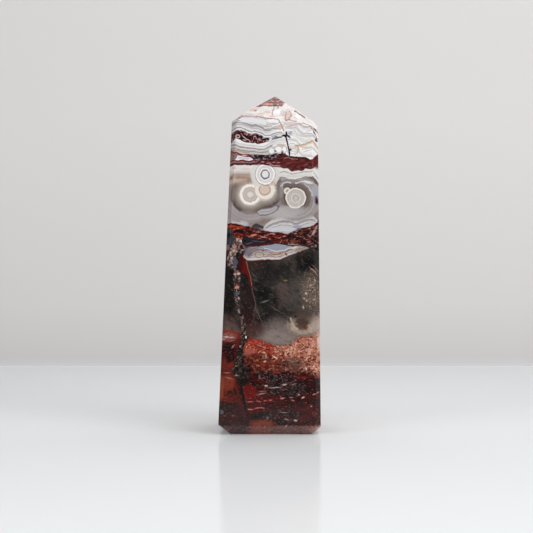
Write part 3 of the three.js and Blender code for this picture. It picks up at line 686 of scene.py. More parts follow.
# The grey zone: eyes of concentric rings that grew from its layers, under a scalloped white roof.
def paintRings(s):
    soft = s.noise((0.25, 0.25, 0.4), 2.0, 0.5, turn=-10, shift=17)
    body = s.ramp(soft, [(0.34, (140, 128, 126)), (0.47, (158, 146, 144)), (0.56, (172, 163, 161)),
        (0.7, (190, 186, 190))])
    s.lay(s.above(brickTop, soft=0.15, rough=s.fine * 0.2), body)
    # mauve and brown clouds low on the left, the bright patch in them, and the light strip along the band
    s.lay(s.spot(-9.5, 64.0, 3.0, 1.6, soft=1.4), (168, 156, 156), 0.8)
    s.lay(s.spot(-3.5, 62.8, 4.4, 1.4, soft=1.0, rough=s.fine), (140, 126, 122), 0.8)
    s.dots([(-10.6, 65.6, 2.0, 1.0, -30, (150, 138, 136), 0.7),
        (-7.4, 61.7, 1.2, 0.9, 0, (192, 188, 194), 0.95, 0.5)], soft=0.8)
    s.lay(s.line([(-11, 61.9), (-9.5, 61.6), (-8, 61.4)], half=0.25, soft=0.2), (200, 194, 196), 0.8)
    s.lay(s.patch([(-5, 60.2, 61.0), (-4, 60.1, 61.4), (-2.6, 60.1, 61.1), (-1.6, 59.8, 60.4)], soft=0.3,
        rough=s.fine * 0.5), (58, 46, 54), 0.9)
    s.lay(s.line([(-4.7, 65.2), (-3.5, 64.5), (-2.8, 63.3)], half=0.25, soft=0.3), (186, 184, 196), 0.8)
    # the white lens on the lower right, with fine wavy lines
    s.lay(s.patch([(-1.8, 59.9, 60.2), (-1, 59.4, 61.3), (0, 59.2, 62.1), (1.5, 59.0, 62.8), (3, 58.9, 63.2),
        (5, 58.6, 63.3), (6.5, 59.1, 63.0), (8, 60.0, 62.8), (9.5, 60.2, 63.2), (11, 60.5, 63.6), (13, 61.2, 63.3),
        (14, 62.5, 63.2)], soft=0.35), (196, 192, 190))
    waves = s.z - s.curve(s.x, [(-2, 60), (0, 61.5), (2, 62.3), (4, 62.7), (6.2, 62.6), (7.5, 62.0), (8.5, 62.2),
        (10, 62.8), (12, 63.2), (14, 62.8)]) + (s.fine * 0.4)
    lens = s.patch([(-1.4, 59.9, 60.6), (0, 59.5, 61.8), (2, 59.2, 62.5), (5, 58.9, 62.9), (7, 59.9, 62.5),
        (10, 60.4, 63.1), (13, 61.3, 62.9)], soft=0.3)
    s.lay(lens, s.ramp(s.layers(waves, 1.3), [(0.32, (150, 144, 146)), (0.44, (196, 192, 192)),
        (0.52, (226, 222, 220)), (0.62, (186, 180, 180)), (0.72, (216, 212, 212))]))
    s.dots([(3.0, 59.7, 4.5, 0.5, 0, (206, 206, 216), 0.7), (8.0, 60.5, 1.2, 0.4, 0, (160, 158, 178), 0.9, 0.3)],
        soft=0.4)
    s.lay(s.line([(4.6, 64.0), (5.5, 64.0), (7, 63.9), (8.3, 63.4, 0.3), (9.5, 63.8), (12, 64.2), (13.3, 63.8),
        (14, 63.1, 0.3)], half=0.16, soft=0.3), (112, 98, 96), 0.85)
    s.lay(s.spot(8.3, 63.5, 0.6, 0.35, soft=0.3), (92, 80, 82), 0.8)

    # arcs around the eyes on the left: the same distance from both of them
    eyeB = s.reach(-5.65, 69.9, 1, 1, thick=1.0) - 3.15
    eyeC = s.reach(-1.4, 71.35, 1, 1, thick=1.0) - 3.0
    around = eyeB.math("SMOOTH_MIN", eyeC, 1.6) + (s.fine * 0.5)
    s.lay(around.gate(-1.2, 6.4), s.ramp(around, haloShades))
    s.lay(s.spot(-11.3, 71.4, 1.0, 3.4, soft=1.2, rough=s.fine), (152, 138, 131), 0.6)
    # the right side: scalloped roof, and the band and arcs around the double eye
    s.lay(s.patch([(2.6, 70, 75.2), (4.3, 70, 75.3), (5.3, 70, 74.9), (7.2, 70, 74.65), (9.2, 70, 75.1),
        (9.9, 70, 75.4), (12, 70, 75.4), (12.6, 70, 75.6), (13.3, 70, 75.1), (16, 70, 73.5)], soft=0.25),
        (121, 109, 104))
    s.lay(s.patch([(3.2, 69, 73.2), (4, 69, 73.9), (5, 69, 74), (6, 69, 73.7), (8, 69, 73.7), (9.5, 69, 74),
        (10.5, 69, 74.1), (12, 69, 73.9), (13, 69, 73.5), (16, 69, 72.5)], soft=0.2), (186, 182, 182), 0.85)
    eyeD = s.reach(7.6, 68.9, 1, 1, thick=1.0) - 3.0
    bump = s.reach(5.1, 71.0, 1, 1, thick=1.0) - 1.0
    double = eyeD.math("SMOOTH_MIN", bump, 0.5) + (s.fine * 0.3)
    s.lay(double.gate(-1.0, 4.4) & around.gate(3.0, -6.7), s.ramp(double, [(0.0, (120, 108, 104)),
        (0.25, (98, 86, 84)), (0.5, (128, 114, 108)), (0.9, (122, 109, 103)), (1.3, (138, 124, 118)),
        (1.7, (160, 150, 146)), (2.1, (148, 138, 136)), (2.6, (178, 172, 172)), (3.1, (158, 150, 148)),
        (3.8, (172, 164, 162))]))
    s.lay(s.spot(3.1, 70.2, 0.8, 3.2, turn=4, soft=0.9, rough=s.fine), (142, 130, 125), 0.72)
    s.lay(s.line([(3.4, 72.4), (4.2, 73.2), (5, 73.5), (6, 73.3)], half=0.22), (206, 208, 216), 0.9)
    s.lay(s.line([(7.6, 73.2), (8.4, 73.4), (9.5, 73.75), (10.2, 73.8)], half=0.2), (214, 214, 222), 0.9)
    s.lay(s.line([(69.6, 12.5), (71, 12.1), (72.2, 11.2), (73.2, 10.0)], half=0.2, upright=True), (210, 210, 218),
        0.9)
    s.dots([(11.3, 73.5, 1.3, 0.35, -12, (228, 226, 228), 0.9), (13.4, 70.8, 1.1, 1.8, 0, (176, 172, 182), 0.8, 0.7),
        (13.75, 68.6, 0.8, 1.45, 0, (142, 146, 162), 0.9, 0.3), (13.75, 68.6, 0.45, 1.0, 0, (94, 46, 44), 1, 0.3),
        (13.8, 68.0, 0.3, 0.4, 0, (74, 34, 30), 0.9)])
    s.dots([(4.6, 64.8, 5.4, 1.7, 6, (190, 184, 184), 0.8), (-7.6, 64.0, 3.6, 1.0, 4, (166, 156, 155), 0.6, 1.0)],
        soft=1.4, rough=s.fine)
    # the tongue below them
    s.lay(s.patch([(-3.9, 64.7, 65.0), (-3.2, 64.1, 65.5), (-2, 63.7, 66.0), (-1, 63.8, 66.1), (0, 64.1, 66.2),
        (1, 64.5, 66.6), (2, 65.2, 67.0), (2.8, 66.2, 66.7)], soft=0.25), (118, 112, 117), 0.85)
    s.lay(s.patch([(-3.4, 64.6, 65.0), (-2.4, 64.1, 65.5), (-1, 64.15, 65.7), (0, 64.4, 65.85), (1, 64.9, 66.1),
        (2, 65.6, 66.5)], soft=0.25), (188, 182, 184), 0.95)
    s.lay(s.line([(-2.6, 64.8), (-1, 64.9), (0.6, 65.3), (1.8, 66)], half=0.1, soft=0.2), (150, 142, 146), 0.8)
    # the double eye itself
    rim = s.reach(7.6, 68.9, 1, 1, thick=1.0) + (s.fine * 0.15)
    small = s.reach(5.1, 71.0, 1, 1, thick=1.0)
    s.lay(small.within(1.0), s.ramp(small, [(0.0, (176, 150, 132)), (0.4, (190, 170, 156)), (0.6, (226, 220, 210)),
        (1.0, (222, 214, 206))]))
    s.lay(rim.within(2.97), s.ramp(rim, [(0.0, (214, 204, 198)), (0.4, (198, 188, 184)), (0.8, (190, 180, 177)),
        (0.95, (178, 168, 165)), (1.15, (214, 207, 203)), (1.35, (220, 213, 209)), (1.55, (190, 181, 177)),
        (1.9, (206, 198, 194)), (2.15, (188, 179, 175)), (2.5, (206, 198, 192)), (2.65, (234, 228, 220)),
        (2.95, (230, 222, 212)), (3.05, (176, 162, 150))]))
    s.lay(s.ring(7.0, 67.2, 1.5, 1.2, half=0.1), (214, 206, 202), 0.7)

    # cream and tan beside the first eye, under the maroon band
    s.lay(s.patch([(-16, 72, 80), (-11, 73.4, 80), (-9, 73.9, 80), (-7, 74.2, 80), (-5.9, 75, 80), (-5, 76.2, 80),
        (-3, 76, 80), (0, 76, 80), (2.2, 76.3, 80), (3.3, 76.4, 80), (4.3, 76.6, 80), (5, 76.5, 80), (5.6, 76.2, 80),
        (6.3, 76, 80), (7, 75.9, 80), (7.7, 76.1, 80), (9.3, 76.4, 80), (12, 76.6, 80), (12.6, 76.8, 80),
        (13, 76.4, 80), (13.8, 75.7, 80), (16, 74, 80)], soft=0.2), (229, 226, 222))
    s.lay(s.patch([(2.6, 75.4, 76.4), (4.3, 75.3, 76.6), (5.3, 74.9, 76.3), (6.3, 74.7, 75.9), (7.2, 74.65, 75.8),
        (8.2, 74.8, 76.2), (9.2, 75.1, 76.3), (9.9, 75.4, 76.4), (12, 75.4, 76.6), (12.6, 75.6, 76.8),
        (13.3, 75.1, 76.2), (16, 73.5, 74.2)], soft=0.2), (224, 222, 219))
    s.lay(s.line([(2.4, 76.5), (3.3, 76.4), (4.3, 76.6), (5, 76.5), (5.6, 76.2), (6.3, 76), (7, 75.9), (7.7, 76.1),
        (8.5, 76.3), (9.3, 76.4), (10.3, 76.6), (12, 76.6), (12.6, 76.8), (13, 76.4), (13.8, 75.7), (15, 74.8)],
        half=0.13), (170, 164, 164), 0.9)
    s.lay(s.line([(2.6, 75.3), (4.3, 75.2), (5.3, 74.8), (6.3, 74.6), (7.2, 74.55), (8.2, 74.7), (9.2, 75),
        (9.9, 75.3), (12, 75.3), (12.6, 75.5), (13.3, 75.0), (14.6, 74)], half=0.14), (240, 238, 238), 0.9)
    s.lay(s.patch([(-12, 72.9, 76.0), (-10.5, 73.1, 76.2), (-9, 73.2, 76.3), (-7.5, 73.2, 76.3), (-6.4, 73.3, 76.3),
        (-5.7, 74.2, 76.3)], soft=1.8, rough=s.fine * 0.6), (184, 164, 152), 0.85)
    s.dots([(-9.7, 73.9, 1.3, 0.4, 0, (196, 180, 168)), (-11.2, 75.0, 0.6, 0.5, 0, (156, 118, 98)),
        (-9.0, 74.95, 0.8, 0.35, 0, (168, 130, 108)), (-7.5, 74.85, 0.6, 0.35, 0, (170, 132, 112)),
        (-6.3, 74.3, 0.3, 0.8, 8, (170, 130, 108)), (-8.3, 75.7, 2.4, 0.2, 0, (166, 148, 138)),
        (-10.2, 77.7, 0.5, 0.3, 0, (216, 186, 176)), (-6.8, 77.4, 1.4, 0.3, 0, (214, 206, 196)),
        (-12.0, 76.8, 0.8, 0.6, 0, (204, 190, 178)), (-4.5, 77.8, 0.8, 0.25, 0, (244, 242, 238))], soft=0.7)

    # the three eyes
    b = s.reach(-5.65, 69.9, 1, 1, thick=1.0) + (s.fine * 0.25)
    s.lay(b.within(3.2), s.ramp(b, [(0.0, (228, 225, 224)), (0.7, (220, 215, 213)), (1.0, (208, 199, 192)),
        (1.15, (190, 174, 163)), (1.4, (208, 197, 189)), (1.7, (202, 191, 182)), (2.0, (206, 195, 187)),
        (2.12, (174, 156, 142)), (2.3, (244, 239, 233)), (2.95, (240, 234, 227)), (3.1, (218, 208, 199)),
        (3.2, (166, 152, 142))]))
    c = s.reach(-1.4, 71.35, 1, 1, thick=1.0) + (s.fine * 0.25)
    s.lay(c.within(2.96), s.ramp(c, [(0.0, (224, 210, 200)), (0.5, (210, 190, 176)), (0.7, (222, 206, 194)),
        (1.3, (214, 196, 184)), (1.5, (188, 160, 144)), (1.7, (206, 184, 170)), (1.9, (238, 230, 222)),
        (2.7, (235, 227, 219)), (2.9, (212, 202, 192)), (3.0, (160, 144, 134))]))
    s.lay(s.reach(-1.28, 75.82, 1, 1, thick=1.0).gate(-1.6, 7.3) & s.above([(-6, 73.6), (-5.4, 73.4), (-4.8, 72.8),
        (-3.6, 72.4), (-2, 72.3), (0, 72.4), (1.6, 73), (2.6, 74.2), (3.2, 75.2)], soft=0.6), (222, 218, 214), 0.95)
    s.dots([(-1.2, 72.7, 1.1, 0.35, -4, (196, 156, 128)), (1.0, 73.2, 0.8, 0.5, 35, (214, 190, 172)),
        (-4.2, 73.0, 0.8, 0.4, -30, (224, 216, 206))], soft=0.35)
    a = s.reach(-1.28, 75.82, 1, 1.08, thick=1.0) + (s.fine * 0.2)
    s.lay(a.within(3.01), s.ramp(a, [(0.0, (240, 238, 238)), (0.5, (230, 226, 226)), (0.85, (236, 234, 234)),
        (1.0, (168, 161, 162)), (1.12, (112, 104, 107)), (1.26, (140, 133, 135)), (1.4, (232, 230, 230)),
        (1.7, (240, 238, 238)), (1.85, (194, 188, 188)), (2.05, (238, 236, 236)), (2.25, (204, 198, 196)),
        (2.45, (246, 244, 244)), (2.75, (240, 236, 234)), (2.88, (190, 177, 170)), (3.0, (172, 159, 151))]))


bandBottom = [(-12.6, 79.9), (-11.8, 79.4), (-10.3, 78.65), (-6, 78.55), (-4, 78.55), (-3, 78.65), (-1, 78.45),
    (0, 78.15), (1, 78), (3, 77.9), (4, 77.6), (4.8, 77.5), (5.4, 77.4), (5.9, 76.95), (6.5, 76.7), (7, 76.65),
    (7.5, 76.75), (8.3, 76.95), (8.8, 76.9), (9.4, 76.8), (9.9, 77), (10.4, 77.4), (11.3, 77.35), (12.2, 77.4),
    (12.8, 77.7), (13.3, 78.4), (14, 79.4), (16, 80)]
bandTop = [(-12.5, 84), (-11.3, 83.9), (-10.4, 82.6), (-9.5, 82.35), (-8.6, 81.95), (-7, 81.75), (-6, 81.8),
    (-5, 81.7), (-3.5, 81.55), (-1, 81.5), (0, 81.65), (1, 81.75), (1.8, 82), (3.2, 81.9), (3.6, 82.2), (4.2, 82.1),
    (5, 81.5), (6, 81.15), (8, 81), (10, 80.85), (11, 80.55), (12, 80.2), (12.5, 80.3), (13, 80.9), (14, 82.3),
    (16, 83)]


# The maroon band, solid on the right and split into red lines, white and black on the left.
def paintMaroonBand(s):
    fleck = s.noise((0.7, 0.7, 1.6), 3.0, 0.62, turn=5, shift=19)
    solid = s.ramp(fleck, [(0.34, (62, 26, 28)), (0.46, (96, 42, 42)), (0.56, (112, 54, 52)), (0.68, (128, 66, 62))])
    s.lay(s.above(bandBottom, soft=0.15), solid)
    s.lay(s.line([(5.6, 81.0), (7, 80.85), (9, 80.65), (10, 80.55), (11.5, 80.1), (13, 80.6)], half=0.18,
        rough=s.fine * 0.3), (58, 22, 26), 0.9)
    s.lay(s.line([(4.4, 80.4), (5.5, 80.75), (6.5, 80.4), (8, 80.2)], half=0.13, rough=s.fine * 0.3), (172, 132, 130),
        0.7)
    s.lay(s.spot(13.6, 79.6, 1.2, 1.6, soft=0.7), (110, 36, 38), 0.9)
    # the left part: pinkish grey first, then its lens and lines
    s.lay(s.patch([(-16, 78.6, 84), (-11.5, 78.6, 84), (-9, 78.5, 82.6), (-6, 78.5, 81.9), (-4.6, 78.5, 80.6),
        (-3.6, 78.5, 79.6), (-3, 78.6, 79.1)], soft=0.25, deep=True), (150, 122, 122))
    s.lay(s.patch([(-16, 80.2, 83.2), (-12, 80.3, 82.6), (-10.4, 80.6, 82)], soft=0.3, deep=True), (146, 120, 108))
    s.lay(s.patch([(-10, 79.9, 80.2), (-9.6, 79.9, 80.8), (-9.2, 79.85, 81.4), (-8.3, 79.9, 81.15), (-7.5, 80, 80.95),
        (-6.5, 79.85, 80.85), (-5.5, 79.9, 80.6), (-4.8, 79.9, 80.2)], soft=0.15), (232, 228, 230))
    s.lay(s.line([(-9, 80.6), (-7.6, 80.5), (-6.2, 80.3)], half=0.14, soft=0.2), (176, 178, 194), 0.8)
    s.lay(s.line([(-9.2, 81.9), (-8.2, 81.45), (-7.6, 81.25), (-6.9, 81), (-5.8, 80.9)], half=0.14), (122, 34, 36))
    s.lay(s.spot(-7.3, 81.35, 0.7, 0.2, soft=0.15), (226, 192, 192), 0.9)
    # the dark, speckled wedge in the middle
    wedge = s.patch([(-6.1, 81.3, 81.9), (-5.5, 80.9, 81.9), (-4.5, 80.1, 81.8), (-3.5, 79.7, 81.7), (-2, 80.1, 81.7),
        (0, 80.1, 81.8), (1, 80.3, 81.9), (2, 80.6, 82), (3.4, 81.0, 82)], soft=0.25, rough=s.fine * 0.5)
    specks = s.noise((1.5, 1.0, 1.9), 3.0, 0.7, turn=-20, shift=21)
    s.lay(wedge, s.ramp(specks, [(0.36, (18, 12, 16)), (0.47, (48, 32, 38)), (0.55, (96, 74, 80)),
        (0.64, (168, 152, 156))]))
    s.lay(s.line([(-11.8, 83.1), (-10.8, 82.5), (-10.2, 82.25), (-9, 82.3), (-8.6, 81.95), (-7, 81.7), (-6.3, 81.5),
        (-5.5, 81), (-5.1, 80.7), (-4.7, 80.1), (-4.2, 79.7)], half=0.22), (112, 32, 34))
    s.lay(s.line([(-10.4, 79.8), (-9.8, 79.7), (-8.6, 79.75), (-7.6, 79.85), (-7.2, 79.6), (-5.5, 79.6), (-4.7, 79.9),
        (-4, 79.7)], half=0.2), (118, 32, 34))
    s.lay(s.line([(-14, 79.4), (-11.5, 78.95), (-9, 78.85), (-6, 78.8), (-4.5, 78.9), (-3.8, 79.05), (-2.8, 79.3)],
        half=0.3, deep=True), (96, 38, 44))
    s.lay(s.line([(0, 78.45), (1.5, 78.35), (3, 78.25)], half=0.12), (196, 176, 176), 0.7)
    s.dots([(1.0, 81.2, 0.6, 0.35, 0, (14, 10, 14)), (-2.0, 81.2, 0.6, 0.35, 0, (18, 12, 16)),
        (-5.0, 81.2, 0.9, 0.13, -38, (150, 140, 156)), (-3.7, 80.1, 0.8, 0.13, 6, (150, 138, 150)),
        (-2.0, 79.4, 0.6, 0.18, 10, (188, 140, 142)), (-0.2, 79.0, 0.7, 0.16, -8, (190, 142, 144)),
        (1.2, 79.35, 0.5, 0.16, 0, (184, 134, 136)), (2.5, 79.2, 0.5, 0.15, 12, (180, 128, 130)),
        (0.4, 79.9, 0.8, 0.2, 8, (60, 26, 30)), (-1.4, 79.8, 0.7, 0.2, 0, (54, 24, 28)),
        (-11.5, 82.7, 0.5, 0.4, 0, (92, 28, 30)), (-11.1, 80.0, 0.6, 0.25, 0, (104, 34, 36)),
        (3.3, 80.0, 0.7, 0.3, 20, (76, 34, 36)), (10.4, 78.6, 0.7, 0.16, 10, (146, 90, 88)),
        (7.8, 78.6, 0.9, 0.14, -6, (84, 32, 34)), (5.4, 79.0, 0.7, 0.14, 8, (136, 80, 78))], soft=0.15)


# Fine white lace on top, with a dark lens in it, ochre seams and a black crack.
def paintLace(s):
    flow = s.curve(s.x, [(-12, 88.4), (-10.6, 89.1), (-9, 89.4), (-8, 89.2), (-6.5, 88.6), (-5, 88.2), (-4.3, 88.4),
        (-3, 88), (-2, 87.6), (-1.2, 87), (-0.5, 87), (0.8, 87.5), (2.2, 88), (3.5, 88.2), (4.2, 88.1), (4.6, 90.2),
        (6.8, 90.1), (7.8, 89.8), (8.6, 88.9), (9.7, 88), (10.5, 87.8), (12, 87.8), (14, 87), (16, 86)])
    height = s.z - flow + (s.fine * 0.35)
    lacing = s.layers(height, 1.25)
    left = s.ramp(lacing, [(0.3, (170, 164, 164)), (0.42, (206, 203, 202)), (0.5, (222, 220, 218)),
        (0.58, (234, 232, 231)), (0.66, (190, 186, 185)), (0.76, (226, 224, 223))])
    right = s.ramp(lacing, [(0.3, (204, 199, 197)), (0.42, (237, 234, 232)), (0.58, (250, 248, 247)),
        (0.66, (221, 216, 214)), (0.76, (244, 241, 240))])
    s.lay(s.above(bandTop, soft=0.14), s.mix(s.curve(s.x, [(-1, 0), (3, 1)]), left, right))

    # below the dark lens: grey-beige lines that bow down
    lower = s.patch([(-12.5, 84.0, 86.4), (-11.4, 83.8, 85.6), (-10.4, 82.6, 86.1), (-9.5, 82.4, 86.3),
        (-8.6, 82, 85.9), (-7, 81.8, 85.2), (-5, 81.7, 84.9), (-3, 81.6, 84.8), (-1, 81.6, 85.2), (0, 81.7, 85.2),
        (0.8, 81.8, 84.4), (1.6, 82, 83)], soft=0.3)
    bow = s.z - s.curve(s.x, [(-12, 85), (-10, 84.4), (-9, 84), (-8, 83.75), (-6, 83.5), (-4, 83.35), (-3, 83.05),
        (-2, 83.1), (-1, 83.4), (0, 83.9), (2, 84.6)]) + (s.fine * 0.25)
    s.lay(lower, s.ramp(bow, [(-1.8, (196, 188, 184)), (-1.3, (212, 206, 202)), (-0.95, (150, 142, 140)),
        (-0.7, (206, 200, 197)), (-0.3, (220, 216, 214)), (-0.1, (164, 156, 154)), (0.12, (158, 150, 150)),
        (0.3, (230, 228, 228)), (0.6, (236, 224, 222)), (0.85, (204, 200, 202)), (1.1, (238, 238, 240)),
        (1.8, (240, 240, 242))]))
    s.lay(s.line([(-11.5, 83.6), (-10.4, 82.9), (-9, 82.7), (-7.4, 82.3), (-6, 82.2)], half=0.2, rough=s.fine * 0.3),
        (182, 150, 142), 0.7)

    # the dark red lens
    table = [(-12.4, 86.0, 87.6), (-11.3, 85.3, 88.0), (-10.6, 85.9, 88.1), (-10, 86.3, 88.6), (-9.5, 86.2, 88.7),
        (-9, 86, 88.7), (-8.4, 85.8, 88.6), (-8, 85.5, 88.4), (-7.2, 85.25, 88.4), (-6.8, 85.1, 88),
        (-6.5, 85.1, 87.6), (-6, 85.0, 87.75), (-5.2, 84.95, 87.4), (-4.2, 84.9, 87.7), (-3.4, 84.7, 87.5),
        (-2.8, 84.8, 87), (-2.3, 84.9, 86.9), (-2, 85, 86.2), (-1.2, 85.2, 86.4), (-0.7, 85.4, 86.5),
        (-0.1, 85.75, 86.2)]
    s.lay(s.line([(-11.5, 88.5), (-10.3, 88.8), (-9, 89.05), (-8, 88.9), (-6.6, 88.3), (-5.2, 88.0), (-4, 88.1),
        (-2.6, 87.5), (-1.8, 86.9), (-0.6, 86.9), (0.4, 86.7)], half=0.16), (248, 248, 250), 0.9)
    inside = s.patch(table, soft=0.16, rough=s.fine * 0.25)
    mottle = s.noise((1.1, 1.0, 1.6), 3.0, 0.66, turn=-15, shift=23)
    s.lay(inside, s.ramp(mottle, [(0.34, (22, 14, 18)), (0.46, (58, 24, 28)), (0.54, (96, 40, 42)),
        (0.6, (120, 66, 66)), (0.68, (196, 164, 166))]))
    s.lay(s.ring(-9.3, 86.9, 0.5, 0.45, half=0.12), (220, 196, 196), 0.9)
    s.lay(s.line([(-8.2, 87.7), (-7.9, 87), (-7.4, 86.6), (-6.8, 86.2), (-6.2, 85.9), (-5.7, 85.4)], half=0.14),
        (216, 190, 190), 0.9)
    s.lay(s.line([(-5, 85.4), (-4.8, 86.2), (-4.4, 86.9), (-3.9, 86.4), (-3.6, 85.8), (-3.5, 85.3)], half=0.14),
        (212, 184, 186), 0.9)
    s.dots([(-7.3, 85.85, 0.5, 0.13, -14, (214, 184, 184)), (-6.5, 85.4, 0.3, 0.2, 0, (150, 34, 34)),
        (-2.4, 86.7, 0.6, 0.35, -20, (46, 42, 50)), (-0.7, 86.2, 0.4, 0.25, 0, (40, 34, 42)),
        (-10.7, 87.0, 0.4, 0.6, 10, (110, 40, 40)), (-8.6, 87.9, 0.7, 0.2, 0, (30, 18, 22)),
        (-5.6, 86.7, 0.5, 0.25, 20, (34, 20, 24)), (-2.6, 85.4, 0.5, 0.2, 0, (120, 50, 50)),
        (-10.9, 86.2, 0.3, 0.3, 0, (206, 178, 180)), (-6.6, 87.3, 0.3, 0.2, 0, (196, 160, 162))], soft=0.14)
    s.lay(s.patch([(0.7, 85.95, 86.2), (1.2, 86, 86.7), (1.9, 86.15, 87.05), (2.4, 86.3, 86.85), (3.6, 86.6, 86.95)],
        soft=0.15), (132, 138, 156))
    s.lay(s.spot(2.6, 86.65, 0.7, 0.14, turn=12, soft=0.12), (86, 70, 84), 0.9)

    # the grey lines above it
    s.lay(s.line([(-11.5, 88.75), (-10.6, 89.2), (-9.8, 89.4), (-9, 89.5), (-8.3, 89.45), (-7.7, 89.1), (-6.7, 88.9),
        (-6.3, 88.6), (-5.8, 88.4), (-5, 88.3), (-4.3, 88.5), (-3.7, 88.3), (-3, 88.1), (-2.2, 87.8), (-1.7, 87.4),
        (-1.2, 87.1), (-0.5, 87.15), (0.3, 87.25), (1.5, 87.8), (2.2, 88), (3.5, 88.1)], half=0.16), (152, 148, 156),
        0.85)
    s.lay(s.line([(-10.4, 90.9), (-8, 91), (-7, 90.85), (-6, 90.35), (-5, 90.1), (-4, 90), (-3, 89.7), (-2, 89.3),
        (-1.3, 88.9), (-0.5, 88.65), (0.2, 88.75), (1, 89.1), (2.5, 89.2), (3.2, 89.05)], half=0.16), (158, 155, 162),
        0.8)
    s.lay(s.line([(-9.8, 90.2), (-8.4, 90.3), (-7, 90.0), (-5.6, 89.5), (-4, 89.2), (-2.4, 88.6)], half=0.1),
        (188, 184, 190), 0.8)
    s.lay(s.patch([(-9.2, 91.2, 92.2), (-6, 91.0, 92.3), (-3, 90.6, 92.0), (-1.3, 90.4, 91.6)], soft=0.4),
        (240, 239, 241), 0.85)
    # the left side of it is painted darker grey-brown towards the left edge: painted shade, where the face turns away
    # from the light
    leftEdgeShade = s.curve(s.x, [(-16, 0.65), (-13, 0.5), (-11.6, 0.34), (-10.9, 0.3), (-10.0, 0.12), (-9.4, 0.0)])
    s.lay(leftEdgeShade & s.above([(-16, 81.6), (-8, 81.6)], soft=1.0) & (s.z * -1 + 92.4 + s.fine), (132, 118, 114))
    s.lay(s.spot(-11.5, 86.7, 0.7, 1.4, turn=-10, soft=0.5, rough=s.fine * 0.6, thick=3.0), (52, 24, 28), 0.85)
    s.lay(s.spot(1.0, 91.4, 2.0, 0.5, soft=0.4), (250, 250, 252), 0.9)
    s.lay(s.line([(-1.6, 90), (-0.8, 90.05), (-0.3, 90.3), (0.5, 90.6), (1.5, 90.7), (2.6, 90.7)], half=0.13),
        (206, 182, 164), 0.85)
    s.lay(s.line([(4.3, 90.45), (5.5, 90.45), (6.8, 90.3), (7.8, 90.05), (8.4, 89.2), (9, 88.5), (9.7, 88),
        (10.5, 87.8), (12, 87.75), (13, 87.2)], half=0.13), (176, 172, 176), 0.85)
    s.lay(s.line([(4.9, 89.2), (6.4, 89.1), (7.4, 88.5), (8.2, 87.6), (9.2, 87.0), (10.6, 86.8), (12, 86.7)],
        half=0.1), (196, 193, 196), 0.8)
    s.lay(s.line([(8.7, 91), (9.4, 90.3), (9.9, 89.75), (10.8, 89.6), (11.5, 89.85)], half=0.12), (178, 174, 178),
        0.8)
    s.lay(s.line([(4.9, 89.8), (5.7, 89.8), (6.4, 89.95)], half=0.12), (222, 184, 180), 0.9)

    # right of the dark lens: white bumps, a beige patch and pale rings
    for x, z, wide, tall in ((0.6, 82.7, 1.0, 0.9), (2.6, 83.1, 1.1, 0.9), (4.2, 83.0, 0.7, 1.0)):
        s.lay(s.spot(x, z, wide, tall), (246, 245, 244), 0.9)
        s.lay(s.ring(x, z, wide, tall, half=0.1), (188, 184, 184), 0.7)
    s.lay(s.spot(3.3, 84.4, 1.3, 0.4, soft=0.2), (206, 190, 176), 0.9)
    s.lay(s.ring(6.5, 83.3, 1.6, 1.5, half=0.12), (206, 202, 204), 0.9)
    s.lay(s.ring(6.5, 83.3, 1.0, 0.95, half=0.1), (214, 210, 211), 0.8)

    # the ochre seam and its branch
    s.lay(s.line([(7.5, 84.0), (8.2, 84.1), (9, 84.1), (10, 84.4), (11, 84.7), (11.8, 85), (12.3, 85.4), (12.6, 85.3),
        (13.2, 84.8), (14, 84)], half=0.28), (222, 196, 160), 0.95)
    s.lay(s.line([(7.7, 84.35), (9, 84.4), (10, 84.7), (11, 85), (11.8, 85.3), (12.4, 85.7), (13.2, 85.15),
        (14, 84.4)], half=0.09), (146, 112, 92), 0.85)
    s.lay(s.line([(81.5, 7.1), (81.8, 7.8), (82.2, 8.2), (82.8, 8.4), (83.4, 8.4), (84, 8.0)], half=0.16,
        upright=True), (200, 166, 138), 0.9)

    # red lines at the right edge
    s.lay(s.line([(9.7, 90.95), (10.5, 90.6), (11.3, 90.35), (12, 90.1, 0.2), (12.5, 89.7), (13, 89.3), (14, 88.9)],
        half=0.14, rough=s.fine * 0.2), (142, 62, 60), 0.95)
    s.lay(s.line([(12.3, 89.2), (12.9, 88.6), (13.4, 87.7), (13.9, 86.9)], half=0.2, rough=s.fine * 0.6, deep=True),
        (112, 40, 40), 0.9)
    s.dots([(10.9, 90.45, 0.8, 0.18, -16, (150, 44, 42)), (12.0, 89.95, 0.6, 0.24, -30, (82, 22, 26)),
        (13.3, 89.2, 0.6, 0.2, -36, (132, 52, 50)), (13.0, 88.2, 0.4, 0.2, -50, (84, 30, 34)),
        (13.6, 86.2, 0.4, 0.3, -40, (72, 60, 62)), (13.8, 86.9, 0.3, 0.3, 0, (186, 120, 116)),
        (8.2, 90.6, 1.6, 0.14, -4, (206, 150, 146)), (7.0, 90.2, 1.0, 0.1, 8, (206, 168, 164)),
        (5.6, 90.95, 1.2, 0.1, 0, (212, 178, 174))], soft=0.2)

